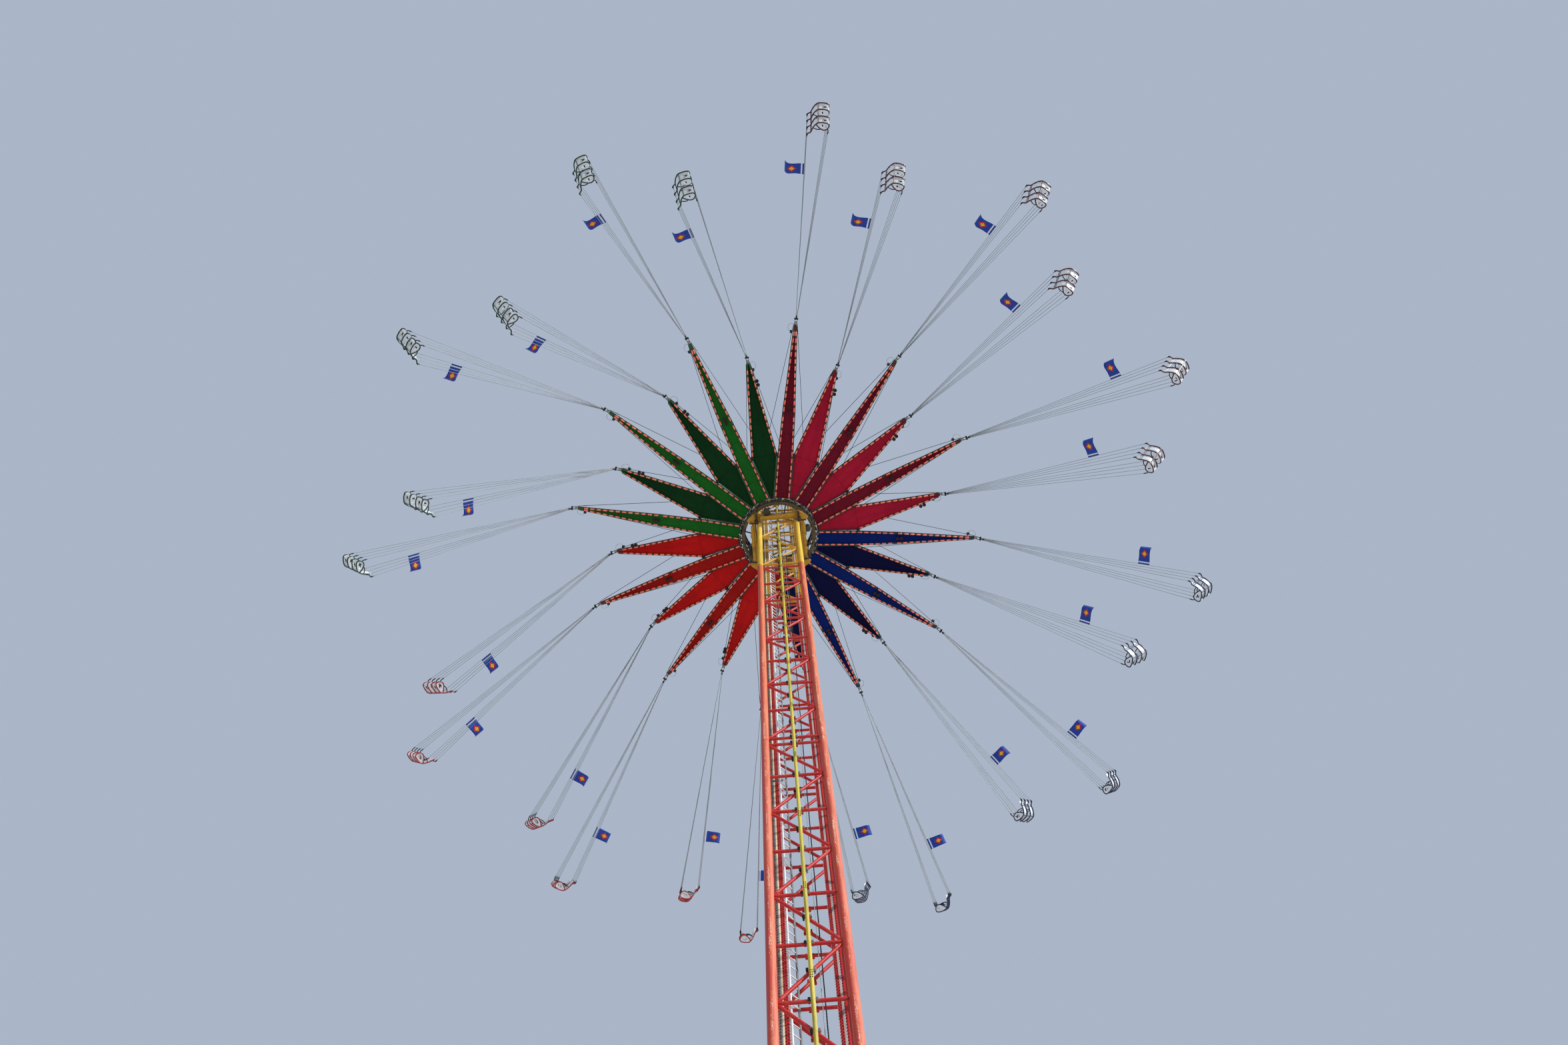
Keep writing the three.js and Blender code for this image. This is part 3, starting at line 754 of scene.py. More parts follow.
@functools.cache
def flaking() -> Tree:
    """Builds the group for a painted highlight in pale streaks on the side of a leg that faces the
    key light, with pale flakes.

    Returns:
        The group, which takes the paint's colour, the painted highlight's colour and the flakes'
        colour, the distance from the tower's axis to a leg's centre along X and Y and the leg's
        radius, and gives colour and mask.
    """
    takes = {"Paint": "Color", "Faded": "Color", "Flake": "Color"}
    takes |= {"Half": "Float", "Radius": "Float"}
    tree, board, given = new_group("flaking", takes, {"Color": "Color", "Mask": "Float"})
    here = board.coordinates()
    right, ahead = (
        board.minus(part, board.times(board.sum("SIGN", part), given.outputs["Half"]))
        for part in board.split(here)[:2]
    )
    facing = board.minus(board.times(right, 0.75), board.times(ahead, 0.6))
    facing = board.sum("DIVIDE", facing, given.outputs["Radius"])
    # Painted highlight: the side of a leg that faces the key light gets the paler colour
    lit = board.spread(facing, 0.35, 0.85)
    # The flakes gather on the front, which also faces the key light, so they are partly wear and
    # partly painted highlight
    off_front = board.sum("ABSOLUTE", board.sum("DIVIDE", right, given.outputs["Radius"]))
    front = board.sum("LESS_THAN", ahead, 0.0)
    front = board.times(board.spread(off_front, 0.2, 0.75, 1.0, 0.0), front)
    streaks = board.noise(board.stretched(here, (1.0, 1.0, 0.05)), 38.0, 5.0)
    flecks = board.noise(board.stretched(here, (1.0, 1.0, 0.3)), 130.0, 3.0)
    patches = board.noise(board.stretched(here, (1.0, 1.0, 0.5)), 4.0, 2.0)
    worn = board.plus(board.times(flecks, 0.5), board.times(streaks, 0.3))
    worn = board.plus(worn, board.times(patches, 0.4))
    worn = board.plus(worn, board.times(front, 0.27))
    mask = board.spread(worn, 0.9, 1.0, 0.0, 0.85)
    # Painted highlight, broken into streaks, on the lit side
    painted_highlight_share = board.times(lit, board.spread(streaks, 0.3, 0.55, 0.35, 0.95))
    colour = board.mix(painted_highlight_share, given.outputs["Paint"], given.outputs["Faded"])
    colour = board.mix(mask, colour, given.outputs["Flake"])
    board.node("NodeGroupOutput", inputs={"Color": colour, "Mask": mask})
    return tree


@functools.cache
def rope_lay() -> Tree:
    """Builds the group for the twisted strands of a rope, on a bar's UV map.

    Returns:
        The group, which takes a wire's colour, the grease's colour and the number of strands
        along the rope, and gives colour and relief.
    """
    takes = {"Wire": "Color", "Grease": "Color", "Strands": "Float"}
    tree, board, given = new_group("rope_lay", takes, {"Color": "Color", "Relief": "Float"})
    round_it, along_it, _ = board.split(board.coordinates("UV"))
    twist = board.times(along_it, given.outputs["Strands"])
    turns = board.times(round_it, 6 * math.tau)
    strand = board.sum("SINE", board.plus(twist, turns))
    groove = board.spread(strand, -1.0, -0.2, 1.0, 0.0)
    patch = board.spread(board.noise(board.coordinates(), 3.0, 4.0), 0.45, 0.6)
    dirt = board.sum("MAXIMUM", groove, board.times(patch, 0.4))
    colour = board.mix(dirt, given.outputs["Wire"], given.outputs["Grease"])
    board.node("NodeGroupOutput", inputs={"Color": colour, "Relief": strand})
    return tree


@dataclass(frozen=True)
class Finish:
    """One finish, which makes one material."""

    name: str  # The finish's name

    def mix(self, board: Board) -> None:
        """Mixes the finish on a material's board, in each kind's own way."""
        raise NotImplementedError

    def material(self) -> bpy.types.Material:
        """Finds the finish's material, or makes it the first time.

        Returns:
            The material.
        """
        material = bpy.data.materials.get(self.name)
        if material is None:
            material = bpy.data.materials.new(self.name)
            material.use_nodes = True
            self.mix(Board(material.node_tree))
        return material


@dataclass(frozen=True)
class Paint(Finish):
    """Weathered paint, moulded plastic or bare metal."""

    slot: str  # The record's material slot
    colour: int  # Its hex colour
    worn: int  # The hex colour that shows where it has worn
    wear: float = 0.4  # How much of it has worn, from 0 to 1
    roughness: float = 0.45  # Its middle roughness
    metallic: float = 0.0  # 1 for bare metal
    patch: float = 2.0  # The scale of the worn patches
    stretch: float = 1.0  # Below 1, streaks run along Z
    relief: float = 0.0008  # The depth of chips and grain
    # Hex colours by the height they start at, instead of one colour
    bands: tuple[tuple[float, int], ...] = ()
    flaked: bool = False  # Whether a tower leg gets a painted highlight and pale flakes on its side toward the key light

    def mix(self, board: Board) -> None:
        """Mixes the paint from the weathering group.

        Args:
            board: the material's board.
        """
        paint = self.banded(board, self.bands) if self.bands else paint_hex(self.colour)
        coat = board.group(weathering(), {
            "Paint": paint, "Worn": paint_hex(self.worn), "Wear": self.wear,
            "Patch": self.patch, "Stretch": self.stretch, "Roughness": self.roughness,
        })
        colour = coat["Color"]
        # A painted highlight on the legs' sunlit side, with pale flakes
        if self.flaked:
            colour = board.group(flaking(), {
                "Paint": colour, "Faded": self.banded(board, PAINTED_HIGHLIGHT_BANDS),
                "Flake": self.banded(board, FLAKE_BANDS),
                "Half": LEG_OUT * METRE, "Radius": LEG_RADIUS * METRE,
            })["Color"]
        board.surface({
            "Base Color": colour, "Roughness": coat["Roughness"], "Metallic": self.metallic,
            "Normal": board.bump(coat["Relief"], self.relief),
        })

    @staticmethod
    def banded(board: Board, bands: tuple[tuple[float, int], ...]) -> Socket:
        """Adds the colour ramp that changes a colour by height.

        Args:
            board: the material's board.
            bands: hex colours by the height they start at.

        Returns:
            The ramp's colour.
        """
        top = CAD_BOX[1].z
        height = board.split(board.coordinates())[2]
        ramp = board.node("ShaderNodeValToRGB", inputs={0: board.spread(height, 0.0, top)})
        points = ramp.color_ramp.elements
        ramp.color_ramp.interpolation = "LINEAR"
        points[0].color = paint_hex(bands[0][1])
        points[1].position = 1.0
        points[1].color = paint_hex(bands[-1][1])
        for start, code in bands[1:-1]:
            points.new(start / top).color = paint_hex(code)
        return ramp.outputs[0]


@dataclass(frozen=True)
class Cover(Finish):
    """Taut coated cloth on an arm."""

    colour: int  # Its hex colour
    dirt: int  # The darker hex colour at its hems

    def mix(self, board: Board) -> None:
        """Mixes the cloth from the taut cloth group.

        Args:
            board: the material's board.
        """
        cloth = board.group(taut_cloth(), {
            "Dye": paint_hex(self.colour), "Dirt": paint_hex(self.dirt),
            "Crease": 1.0, "Roughness": 0.62,
        })
        board.surface({
            "Base Color": cloth["Color"], "Roughness": cloth["Roughness"],
            "Specular IOR Level": 0.1, "Normal": board.bump(cloth["Relief"], 0.02),
        })


@dataclass(frozen=True)
class Wire(Finish):
    """Twisted wire rope."""

    colour: int  # The wire's hex colour
    grease: int  # The grease's hex colour
    roughness: float = 0.4  # Its roughness
    metallic: float = 0.6  # How metallic it is
    strands: float = 900.0  # The twists along the rope's length

    def mix(self, board: Board) -> None:
        """Mixes the rope from the rope lay group.

        Args:
            board: the material's board.
        """
        lay = board.group(rope_lay(), {
            "Wire": paint_hex(self.colour), "Grease": paint_hex(self.grease),
            "Strands": self.strands,
        })
        board.surface({
            "Base Color": lay["Color"], "Roughness": self.roughness, "Metallic": self.metallic,
            "Normal": board.bump(lay["Relief"], 0.0006),
        })


@dataclass(frozen=True)
class Lamp(Finish):
    """The lit plastic of a light tube or the glass of a lamp."""

    colour: int  # Its hex colour
    pale: int  # The hex colour of its paler parts
    glow: float  # The strength of its light

    def mix(self, board: Board) -> None:
        """Mixes tinted plastic that is a little paler in patches.

        Args:
            board: the material's board.
        """
        here = board.coordinates()
        share = board.times(board.spread(board.noise(here, 9.0, 3.0), 0.4, 0.65), 0.5)
        colour = board.mix(share, paint_hex(self.colour), paint_hex(self.pale))
        board.surface({
            "Base Color": colour, "Emission Color": colour, "Emission Strength": self.glow,
            "Coat Weight": 0.1, "Specular IOR Level": 0.2,
            "Roughness": board.spread(board.noise(here, 40.0), 0.3, 0.7, 0.3, 0.45),
            "Normal": board.bump(board.noise(here, 60.0), 0.0006),
        })


@dataclass(frozen=True)
class FlagCloth(Finish):
    """The flags' cloth: a plain blue field, a white hoist band and a two-coloured lozenge."""

    name: str = "flag_cloth"
    field: int = 0x0C3CA4  # The field's hex colour
    band: int = 0xE8ECF4  # The band's hex colour
    lozenge: tuple[int, int] = (0xC81E28, 0xF0C020)  # The lozenge's hex colours, outside and inside

    def mix(self, board: Board) -> None:
        """Mixes the cloth on the flag's UV map.

        Args:
            board: the material's board.
        """
        lay = board.coordinates("UV")
        across, down, _ = board.split(lay)
        tone = board.spread(board.noise(lay, 6.0, 4.0), 0.3, 0.7, 0.85, 1.1)
        colour = board.shade(paint_hex(self.field)[:3], tone)
        band = board.sum("LESS_THAN", board.sum("ABSOLUTE", board.minus(across, 0.12)), 0.035)
        colour = board.mix(band, colour, paint_hex(self.band))
        side = board.sum("ABSOLUTE", board.minus(across, 0.6))
        rise = board.times(board.sum("ABSOLUTE", board.minus(down, 0.5)), 0.72)
        reach = board.plus(side, rise)
        for limit, code in ((0.24, self.lozenge[0]), (0.14, self.lozenge[1])):
            colour = board.mix(board.sum("LESS_THAN", reach, limit), colour, paint_hex(code))
        warp = board.sum("SINE", board.times(across, 1400.0))
        weft = board.sum("SINE", board.times(down, 900.0))
        board.surface({
            "Base Color": colour, "Sheen Weight": 0.1,
            "Roughness": board.spread(board.noise(lay, 12.0), 0.3, 0.7, 0.62, 0.8),
            "Normal": board.bump(board.times(warp, weft), 0.0004),
        })


def tower_bands(
    middle: float, foot: int, waist: int, shoulder: int, top: int
) -> tuple[tuple[float, int], ...]:
    """The tower's hex colours by the heights they start at, with another one for its top."""
    change = 23.5
    return ((0.0, foot), (middle, waist), (change, shoulder), (change + 0.04, top), (31.0, top))


LATTICE_BANDS = tower_bands(18.0, 0xC21F1E, 0xCB2422, 0xD0382A, 0xDCA428)
LEG_BANDS = tower_bands(14.0, 0xC0281E, 0xC63220, 0xCC4624, 0xDCA824)
# The colours of the painted highlight on the legs' sunlit side and of the flakes gathered there, by
# height
PAINTED_HIGHLIGHT_BANDS = tower_bands(14.0, 0xE08672, 0xE28262, 0xE4804C, 0xEACA48)
FLAKE_BANDS = tower_bands(19.0, 0xF4DCC4, 0xF4D0A8, 0xF4CCA0, 0xF2E890)

LATTICE_PAINT = Paint(
    "lattice_paint", "tower_paint", 0xCB2422, 0xE0684A, wear=0.3, patch=5.0, stretch=0.5,
    bands=LATTICE_BANDS,
)
# The legs carry a painted highlight on their side toward the key light
LEG_PAINT = Paint(
    "leg_paint", "tower_paint", 0xC63424, 0xDB7448, wear=0.35, patch=7.0, stretch=0.08,
    roughness=0.42, bands=LEG_BANDS, flaked=True,
)
RAIL_YELLOW = Paint(
    "rail_yellow", "yellow_paint", 0xCDBB3A, 0x6F6124, wear=0.6, patch=9.0, stretch=0.12
)
RAIL_CREAM = Paint(
    "rail_cream", "cream_paint", 0xFCF0C8, 0x8E7A52, wear=0.6, patch=9.0, stretch=0.12
)
RACK_PAINT = Paint(
    "rack_paint", "tower_paint", 0xC81E24, 0x7A1618, wear=0.3, patch=14.0, bands=LATTICE_BANDS
)
RAIL_GREY = Paint("rail_grey", "white_paint", 0xB8B4B0, 0x77706A, wear=0.6, patch=9.0, stretch=0.12)
# Red teeth painted pale: painted glints on the left rack's teeth
PAINTED_GLINT_TEETH = Paint(
    "tooth_pale", "tower_paint", 0xE6C4B4, 0xB0423A, wear=0.8, patch=30.0, roughness=0.35
)
LADDER_WHITE = Paint("ladder_white", "white_paint", 0xEDEDEC, 0xA8A49C, wear=0.35, patch=9.0)
LADDER_GREY = Paint("ladder_grey", "white_paint", 0x7C7C7A, 0x4A4846, wear=0.5, patch=9.0)
CLAMP_BLACK = Paint("clamp_black", "black_plastic", 0x1C1C1F, 0x3A3836, wear=0.4, patch=12.0)
CLAMP_SILVER = Paint(
    "clamp_silver", "bearing_steel", 0xA8A49A, 0x3C3A34, wear=0.7, patch=24.0, roughness=0.35,
    metallic=0.5,
)
HEAD_YELLOW = Paint("head_yellow", "yellow_paint", 0xC08E22, 0x7A5A22, wear=0.4, patch=5.0)
BASE_GREY = Paint("base_grey", "base_steel", 0x4A463C, 0x7A5A3C, wear=0.4)
CARRIAGE_YELLOW = Paint(
    "carriage_yellow", "yellow_paint", 0xCC961E, 0x5C4016, wear=0.6, patch=5.0, stretch=0.5
)
JOINT_BROWN = Paint("joint_brown", "bearing_steel", 0x4A2414, 0x24140C, wear=0.5, patch=8.0)
BEARING_OLIVE = Paint(
    "bearing_olive", "bearing_steel", 0x6E5A3A, 0x2E2414, wear=0.7, patch=8.0, roughness=0.42,
    metallic=0.25,
)
BRACKET_YELLOW = Paint("bracket_yellow", "yellow_paint", 0xC8A238, 0x3A2E16, wear=0.7, patch=11.0)
MOTOR_GREY = Paint("motor_grey", "bearing_steel", 0x44463C, 0x20201C, wear=0.5, patch=9.0)
BOX_BLACK = Paint("box_black", "black_plastic", 0x1E1D1B, 0x35312A, wear=0.4, patch=7.0)
HUB_DARK = Paint("hub_dark", "bearing_steel", 0x2C271C, 0x57492A, wear=0.6, patch=9.0)
TRIM_DARK = Paint("trim_dark", "black_plastic", 0x201B14, 0x4A3A20, wear=0.5, patch=12.0)
EDGE_GREY = Paint("edge_grey", "bearing_steel", 0x54564E, 0x23241F, 0.5, patch=9.0, metallic=0.3)
HOLDER_OLIVE = Paint("holder_olive", "bearing_steel", 0x57522A, 0x221E12, wear=0.6, patch=16.0)
SEAT_WHITE = Paint(
    "seat_white", "chair_shell", 0xF4F5F6, 0xC6C8CA, wear=0.3, patch=9.0, roughness=0.28,
    relief=0.0003,
)
LAP_BLACK = Paint("lap_black", "black_plastic", 0x141416, 0x2C2C2E, wear=0.4, patch=14.0)
ROPE_BLACK = Wire("rope_black", 0x222226, 0x08080A, 0.5, 0.2, 3000.0)
ROPE_PALE = Wire("rope_pale", 0xBCBEC0, 0x6E7276, 0.5, 0.1)
STAY_WIRE = Wire("stay_wire_rope", 0x4C5058, 0x26282C, 0.4, 0.7)
LIGHT_TUBE = Lamp("light_tube", 0xF0705A, 0xF6A890, 0.12)
LAMP_GLASS = Lamp("lamp_glass", 0x1C0A08, 0x5A2018, 0.01)
LAMP_RIM = Paint(
    "lamp_rim", "black_plastic", 0x2C1A14, 0x140C08, wear=0.5, patch=30.0, roughness=0.7
)
FLOOR_FINISH = Paint(
    "floor_finish", "white_paint", 0xD8D8D4, 0xD2D2CE, wear=0.2, patch=8.0, roughness=0.8
)


class Quarter(Enum):
    """A quarter of the star, with its six arms in one colour family."""

    CRIMSON = "crimson"
    BLUE = "blue"
    RED = "red"
    GREEN = "green"


@dataclass(frozen=True)
class QuarterFinish:
    """The finishes of one quarter's arms and chairs."""

    long_cover: Cover  # The long arms' cloth
    short_cover: Cover  # The short arms' cloth
    steel: Paint  # The arms' painted steel
    tube: Paint  # The chairs' painted tubes


def mixed(
    quarter: Quarter, long: int, short: int, dirt: int, steel: int, tube: int
) -> QuarterFinish:
    """Names and mixes one quarter's finishes.

    Args:
        quarter: the quarter.
        long: the hex colour of its long covers.
        short: the hex colour of its short covers.
        dirt: the darker hex colour at their hems, which also shows where their steel wears.
        steel: the hex colour of its arms' steel.
        tube: the hex colour of its chairs' tubes.

    Returns:
        The quarter's finishes.
    """
    name = quarter.value
    slot = f"{name}_cover"
    return QuarterFinish(
        Cover(f"{name}_long_cover", long, dirt),
        Cover(f"{name}_short_cover", short, dirt),
        Paint(f"{name}_steel", slot, steel, dirt, wear=0.3, patch=4.0),
        Paint(f"{name}_tube", "chair_shell", tube, 0x8A8680, wear=0.25, patch=9.0, roughness=0.35),
    )


QUARTER_FINISHES = {
    Quarter.CRIMSON: mixed(Quarter.CRIMSON, 0x751026, 0xB41634, 0x2A0A12, 0x4E1018, 0x500C18),
    Quarter.BLUE: mixed(Quarter.BLUE, 0x001E68, 0x020438, 0x050712, 0x0C2C50, 0x121C4C),
    Quarter.RED: mixed(Quarter.RED, 0xAB140E, 0xCA1210, 0x2C0A08, 0x6A1414, 0xB01818),
    Quarter.GREEN: mixed(Quarter.GREEN, 0x1A661E, 0x083714, 0x06180C, 0x1E5A26, 0x0E3A1C),
}


def dress(piece: Piece, finish: Finish) -> Piece:
    """Gives a piece one finish.

    Args:
        piece: the piece, or a CAD node's object.
        finish: the finish.

    Returns:
        The piece.
    """
    piece.data.materials.clear()
    piece.data.materials.append(finish.material())
    return piece


def dressed(finish: Finish, *pieces: Piece) -> list[Piece]:
    """Gives some pieces one finish and returns them."""
    return [dress(piece, finish) for piece in pieces]


def dress_node(name: str, finish: Paint) -> None:
    """Gives a CAD node that stays in view its finish."""
    dress(frame["nodes"][name], finish)
    log.info("%s: CAD node kept, in %s", name, finish.name)


# Sub-assemblies


class Side(Enum):
    """A face of the tower, by the quarter turns from the front."""

    FRONT = 0
    RIGHT = 1
    BACK = 2
    LEFT = 3

    @property
    def label(self) -> str:
        """The name used in nodes and pieces."""
        return self.name.lower()

    @property
    def turn(self) -> Matrix:
        """The turn from the front face to this one."""
        return turn_z(self.value * QUARTER_TURN)


@dataclass(frozen=True)
class Tower:
    """The lattice tower with its rails, racks, ladder and ropes."""

    half: float = LEG_OUT  # From the axis to a leg's centre
    leg: float = LEG_RADIUS  # The legs' radius, a little inside the CAD's twelve-sided legs
    bays: tuple[int, ...] = (2, 8, 8, 8, 8)  # The number of bays of each section, from the base up
    bay: float = 1.75  # The height of a bay
    joint: float = 0.35  # The height between two sections
    foot: float = 0.35  # The base frame's height
    brace: float = 0.05  # From the plane of a face to its bracing's outside
    tube: float = 0.041  # The bracing tubes' radius
    rail: float = 0.09  # The width of a guide rail
    rail_foot: float = 0.45  # The height at which the rails and racks start
    splice: float = 3.0  # The distance between two groups of bolts along a rail
    # The strips inside the left and the right face, each with its distance from the axis, its width
    # and its finish
    racks: tuple[tuple[tuple[float, float, Paint], ...], ...] = (
        ((0.552, 0.1, RACK_PAINT), (0.622, 0.036, RAIL_CREAM), (0.67, 0.055, LADDER_GREY)),
        ((0.53, 0.08, RACK_PAINT), (0.59, 0.05, RAIL_GREY), (0.65, 0.055, RACK_PAINT)),
    )
    rack_line: float = 0.42  # How far behind the axis the racks stand
    rack_depth: float = 0.05  # The racks' depth
    tooth: float = 0.09  # The pitch of the racks' teeth
    ladder: float = 0.27  # The ladder's width
    stile: float = 0.045  # The width of its stiles
    rung: float = 0.3  # The pitch of its rungs
    rung_radius: float = 0.016  # Their radius
    ladder_at: Pair = (-0.38, 0.3)  # Its middle in plan
    hoist_at: Pair = (0.21, 0.1)  # The middle between the hoist's two falls in plan
    hoist_gap: float = 0.06  # The distance between them
    hoist_radii: Pair = (0.008, 0.012)  # The radii of the return rope and of the chain's core
    bead: float = 0.09  # The pitch of the chain's beads

    def runs(self) -> list[tuple[float, int]]:
        """Lists the sections.

        Returns:
            The height of each one's lowest horizontal, with its number of bays.
        """
        found, bottom = [], self.foot
        for bays in self.bays:
            found.append((bottom, bays))
            bottom = bottom + bays * self.bay + self.joint
        return found

    @property
    def top(self) -> float:
        """The height of the legs' top."""
        bottom, bays = self.runs()[-1]
        return bottom + bays * self.bay

    @property
    def rail_line(self) -> float:
        """From the axis to a rail's centre."""
        return self.half + self.brace + self.rail / 2 + SLIT

    @property
    def reach(self) -> float:
        """From the middle of a face to the end of a bracing tube, just inside the leg."""
        return self.half - self.leg * 0.93

    def levels(self) -> list[float]:
        """The heights of all horizontals."""
        return [bottom + i * self.bay for bottom, bays in self.runs() for i in range(bays + 1)]

    def middles(self) -> list[float]:
        """The heights at which the diagonals cross the middle of a face."""
        return [bottom + (i + 0.5) * self.bay for bottom, bays in self.runs() for i in range(bays)]

    def build(self) -> None:
        """Builds and seats all of the tower's pieces."""
        self.build_faces()
        self.build_legs()
        self.build_rails()
        self.build_racks()
        self.build_ladder()
        self.build_ropes()
        self.build_ends()

    def level(self, height: float) -> Piece:
        """Models a horizontal of the front face at a height."""
        start, end = (-self.reach, -self.half, height), (self.reach, -self.half, height)
        return nosed(start, end, self.tube, 0.05)

    def two_bays(self) -> Piece:
        """Models two bays of the front face, with the diagonals rising one way and then back.

        Returns:
            The bays' tubes, from the height 0.
        """
        y, inset = -self.half, 1.1 * self.tube
        parts = [self.level(0), self.level(self.bay)]
        for floor, x in ((0.0, -self.reach), (self.bay, self.reach)):
            low, high = floor + inset, floor + self.bay - inset
            parts.append(nosed((x, y, low), (-x, y, high), self.tube, 0.1))
        return join("two_bays", parts)

    def build_faces(self) -> None:
        """Builds the four lattice faces from copies of two bays."""
        pairs = raised(
            bottom + 2 * i * self.bay for bottom, bays in self.runs() for i in range(bays // 2)
        )
        tops = raised(bottom + bays * self.bay for bottom, bays in self.runs())
        bays = strew("bays", self.two_bays(), pairs)
        face = join("face", [bays, strew("tops", self.level(0), tops)])
        smoothed(dress(face, LATTICE_PAINT))
        for side in Side:
            piece = copy_of(face, f"lattice_{side.label}", side.turn)
            seat(piece, "tower", "tower_paint", f"tower_lattice_{side.label}")
        discard([face])

    def build_legs(self) -> None:
        """Builds the four legs, with a seam and bolts at each joint."""
        seams = [bottom - self.joint / 2 for bottom, _ in self.runs()[1:]]
        edges = [self.foot + SLIT, *seams, self.top]
        gap = 0.008
        tubes = [
            soften(bar((0, 0, low + gap), (0, 0, high - gap), self.leg, 32), EASED)
            for low, high in zip(edges, edges[1:])
        ]
        core = bar((0, 0, edges[0]), (0, 0, self.top - 0.02), self.leg * 0.93, 16)
        inward = Matrix.Rotation(QUARTER_TURN, 4, "Y")
        places = [
            turn_z(math.radians(angle)) @ shift((self.leg - 0.004, 0, seam + step)) @ inward
            for seam in seams for step in (-0.1, 0.1) for angle in (10, 80)
        ]
        studs = strew("studs", dress(bolt(0.028, 0.035), CLAMP_BLACK), places)
        parts = [*dressed(LEG_PAINT, *tubes), dress(core, CLAMP_BLACK), studs]
        leg = smoothed(join("leg", parts))
        for i, label in enumerate(("front_left", "front_right", "back_right", "back_left")):
            place = turn_z(i * QUARTER_TURN) @ shift((-self.half, -self.half, 0))
            seat(copy_of(leg, f"leg_{label}", place), "tower", "tower_paint", f"tower_leg_{label}")
        discard([leg])

    def clamp(self, left: Paint, right: Paint) -> Piece:
        """Models the pair of clamps that hold the front rail at a member.

        Args:
            left: the left clamp's finish.
            right: the right clamp's finish.

        Returns:
            The clamps, at the height 0.
        """
        parts = []
        y = -self.half - self.tube
        for side, finish in ((-1, left), (1, right)):
            x = side * (self.rail / 2 + 0.032)
            parts += dressed(
                finish,
                block((0.058, 0.05, 0.065), (x, y - 0.01, 0), EASED),
                bar((x, y, 0), (x, y - 0.05, 0), 0.019, 10),
                bar((x, y + 0.06, -0.045), (x, y + 0.06, 0.045), 0.014, 8),
                block((0.04, 0.1, 0.035), (x, y + 0.04, 0), CRISP),
            )
        return join("clamp", parts)

    def build_rails(self) -> None:
        """Builds the ridged guide rails with their splice bolts and clamps."""
        line, half, top = self.rail_line, self.rail / 2, self.top + self.brace
        ridge, shoulder = -0.1 * half, -0.35 * half
        section = ((-half, half), (-half, shoulder), (ridge, -half), (half, shoulder), (half, half))
        clamps = {
            Side.FRONT: (CLAMP_BLACK, CLAMP_SILVER), Side.BACK: (RACK_PAINT, RACK_PAINT),
            Side.LEFT: (CLAMP_BLACK, CLAMP_BLACK), Side.RIGHT: (CLAMP_BLACK, CLAMP_BLACK),
        }
        outward = Matrix.Rotation(QUARTER_TURN, 4, "X")
        places = [
            shift((x, -line - 0.62 * half, 1.6 + (self.splice * i + 0.07 * j))) @ outward
            for i in range(int(top / self.splice)) for j in range(4) for x in (-0.02, 0.022)
        ]
        heights = raised(self.levels()[1:] + self.middles())
        for side in Side:
            finish = RAIL_YELLOW if side is Side.FRONT else RAIL_CREAM
            rail = plate([(x, y - line) for x, y in section], self.rail_foot, top, CRISP)
            bolts = strew("bolts", dress(bolt(0.009, 0.02), CLAMP_BLACK), places)
            grips = strew("clamps", self.clamp(*clamps[side]), heights)
            piece = join(f"rail_{side.label}", [dress(rail, finish), bolts, grips])
            deliver(moved(piece, side.turn), "tower", finish.slot, f"guide_rail_{side.label}")

    def build_racks(self) -> None:
        """Builds the toothed rack and the plain strips beside it inside each side face, with pale
        painted glints on the left rack's teeth and black blocks of painted shade in the slots.
        """
        y, depth, pitch = self.rack_line, self.rack_depth, self.tooth
        tall, middle = self.top - self.rail_foot, (self.rail_foot + self.top) / 2
        for label, sign, bars in zip(("left", "right"), (-1, 1), self.racks):
            parts = [
                dress(block((wide, 0.7 * depth, tall), (sign * reach, y, middle), CRISP), finish)
                for reach, wide, finish in bars
            ]
            tie = block((0.2, 0.02, 0.04), (sign * 0.61, y + 0.5 * depth, 0), CRISP)
            parts.append(strew("ties", dress(tie, RACK_PAINT), raised(self.levels()[1:])))
            for share, sunk in ((0, -1), (0, 1), (2, -1)):
                reach, wide, _ = bars[share]
                x, out = sign * reach, sunk * wide / 2
                # Black blocks in the rack's holes and notches between the teeth: painted shade
                slot = block((0.016, 0.024, 0.4 * pitch), (x + 0.45 * out, y - 0.3 * depth, 0))
                tooth = bar((x + 0.8 * out, y, 0), (x + 1.3 * out, y, 0), 0.2 * pitch, 6)
                # The left rack's teeth get the pale painted glints
                dress(tooth, PAINTED_GLINT_TEETH if share == 0 else RACK_PAINT)
                first = self.rail_foot + (0.5 + 0.25 * sunk) * pitch
                places = raised(first + i * pitch for i in range(int(tall / pitch)))
                parts.append(strew("slots", dress(slot, CLAMP_BLACK), places))
                parts.append(strew("teeth", tooth, places))
            deliver(join(f"rack_{label}", parts), "tower", "tower_paint", f"rack_strip_{label}")

    def build_ladder(self) -> None:
        """Builds the ladder with its rungs and brackets, one stile white and the other grey."""
        low, high = self.foot + SLIT, self.top
        stile, middle, edge = self.stile, (low + high) / 2, self.ladder / 2 - self.stile / 2
        y = -stile / 4
        parts = [
            dress(block((stile, stile * 0.8, high - low), (x, y, middle), CRISP), finish)
            for x, finish in ((-edge, LADDER_WHITE), (edge, LADDER_GREY))
        ]
        rung = dress(bar((-edge, y, 0), (edge, y, 0), self.rung_radius, 8), LADDER_WHITE)
        count = int((high - low) / self.rung)
        heights = (low + (i + 0.5) * self.rung for i in range(count))
        parts.append(strew("rungs", rung, raised(heights)))
        x, y = self.ladder_at
        ladder = moved(join("ladder", parts), shift((x, y, 0)) @ turn_z(math.radians(45)))
        face = -self.half + self.brace
        size = (x - face, stile, stile)
        brackets = [
            block(size, ((x + face) / 2, y, bottom + bays * self.bay), CRISP)
            for bottom, bays in self.runs()
        ]
        piece = join("ladder", [ladder, *dressed(LADDER_GREY, *brackets)])
        deliver(piece, "tower", "white_paint", "access_ladder")

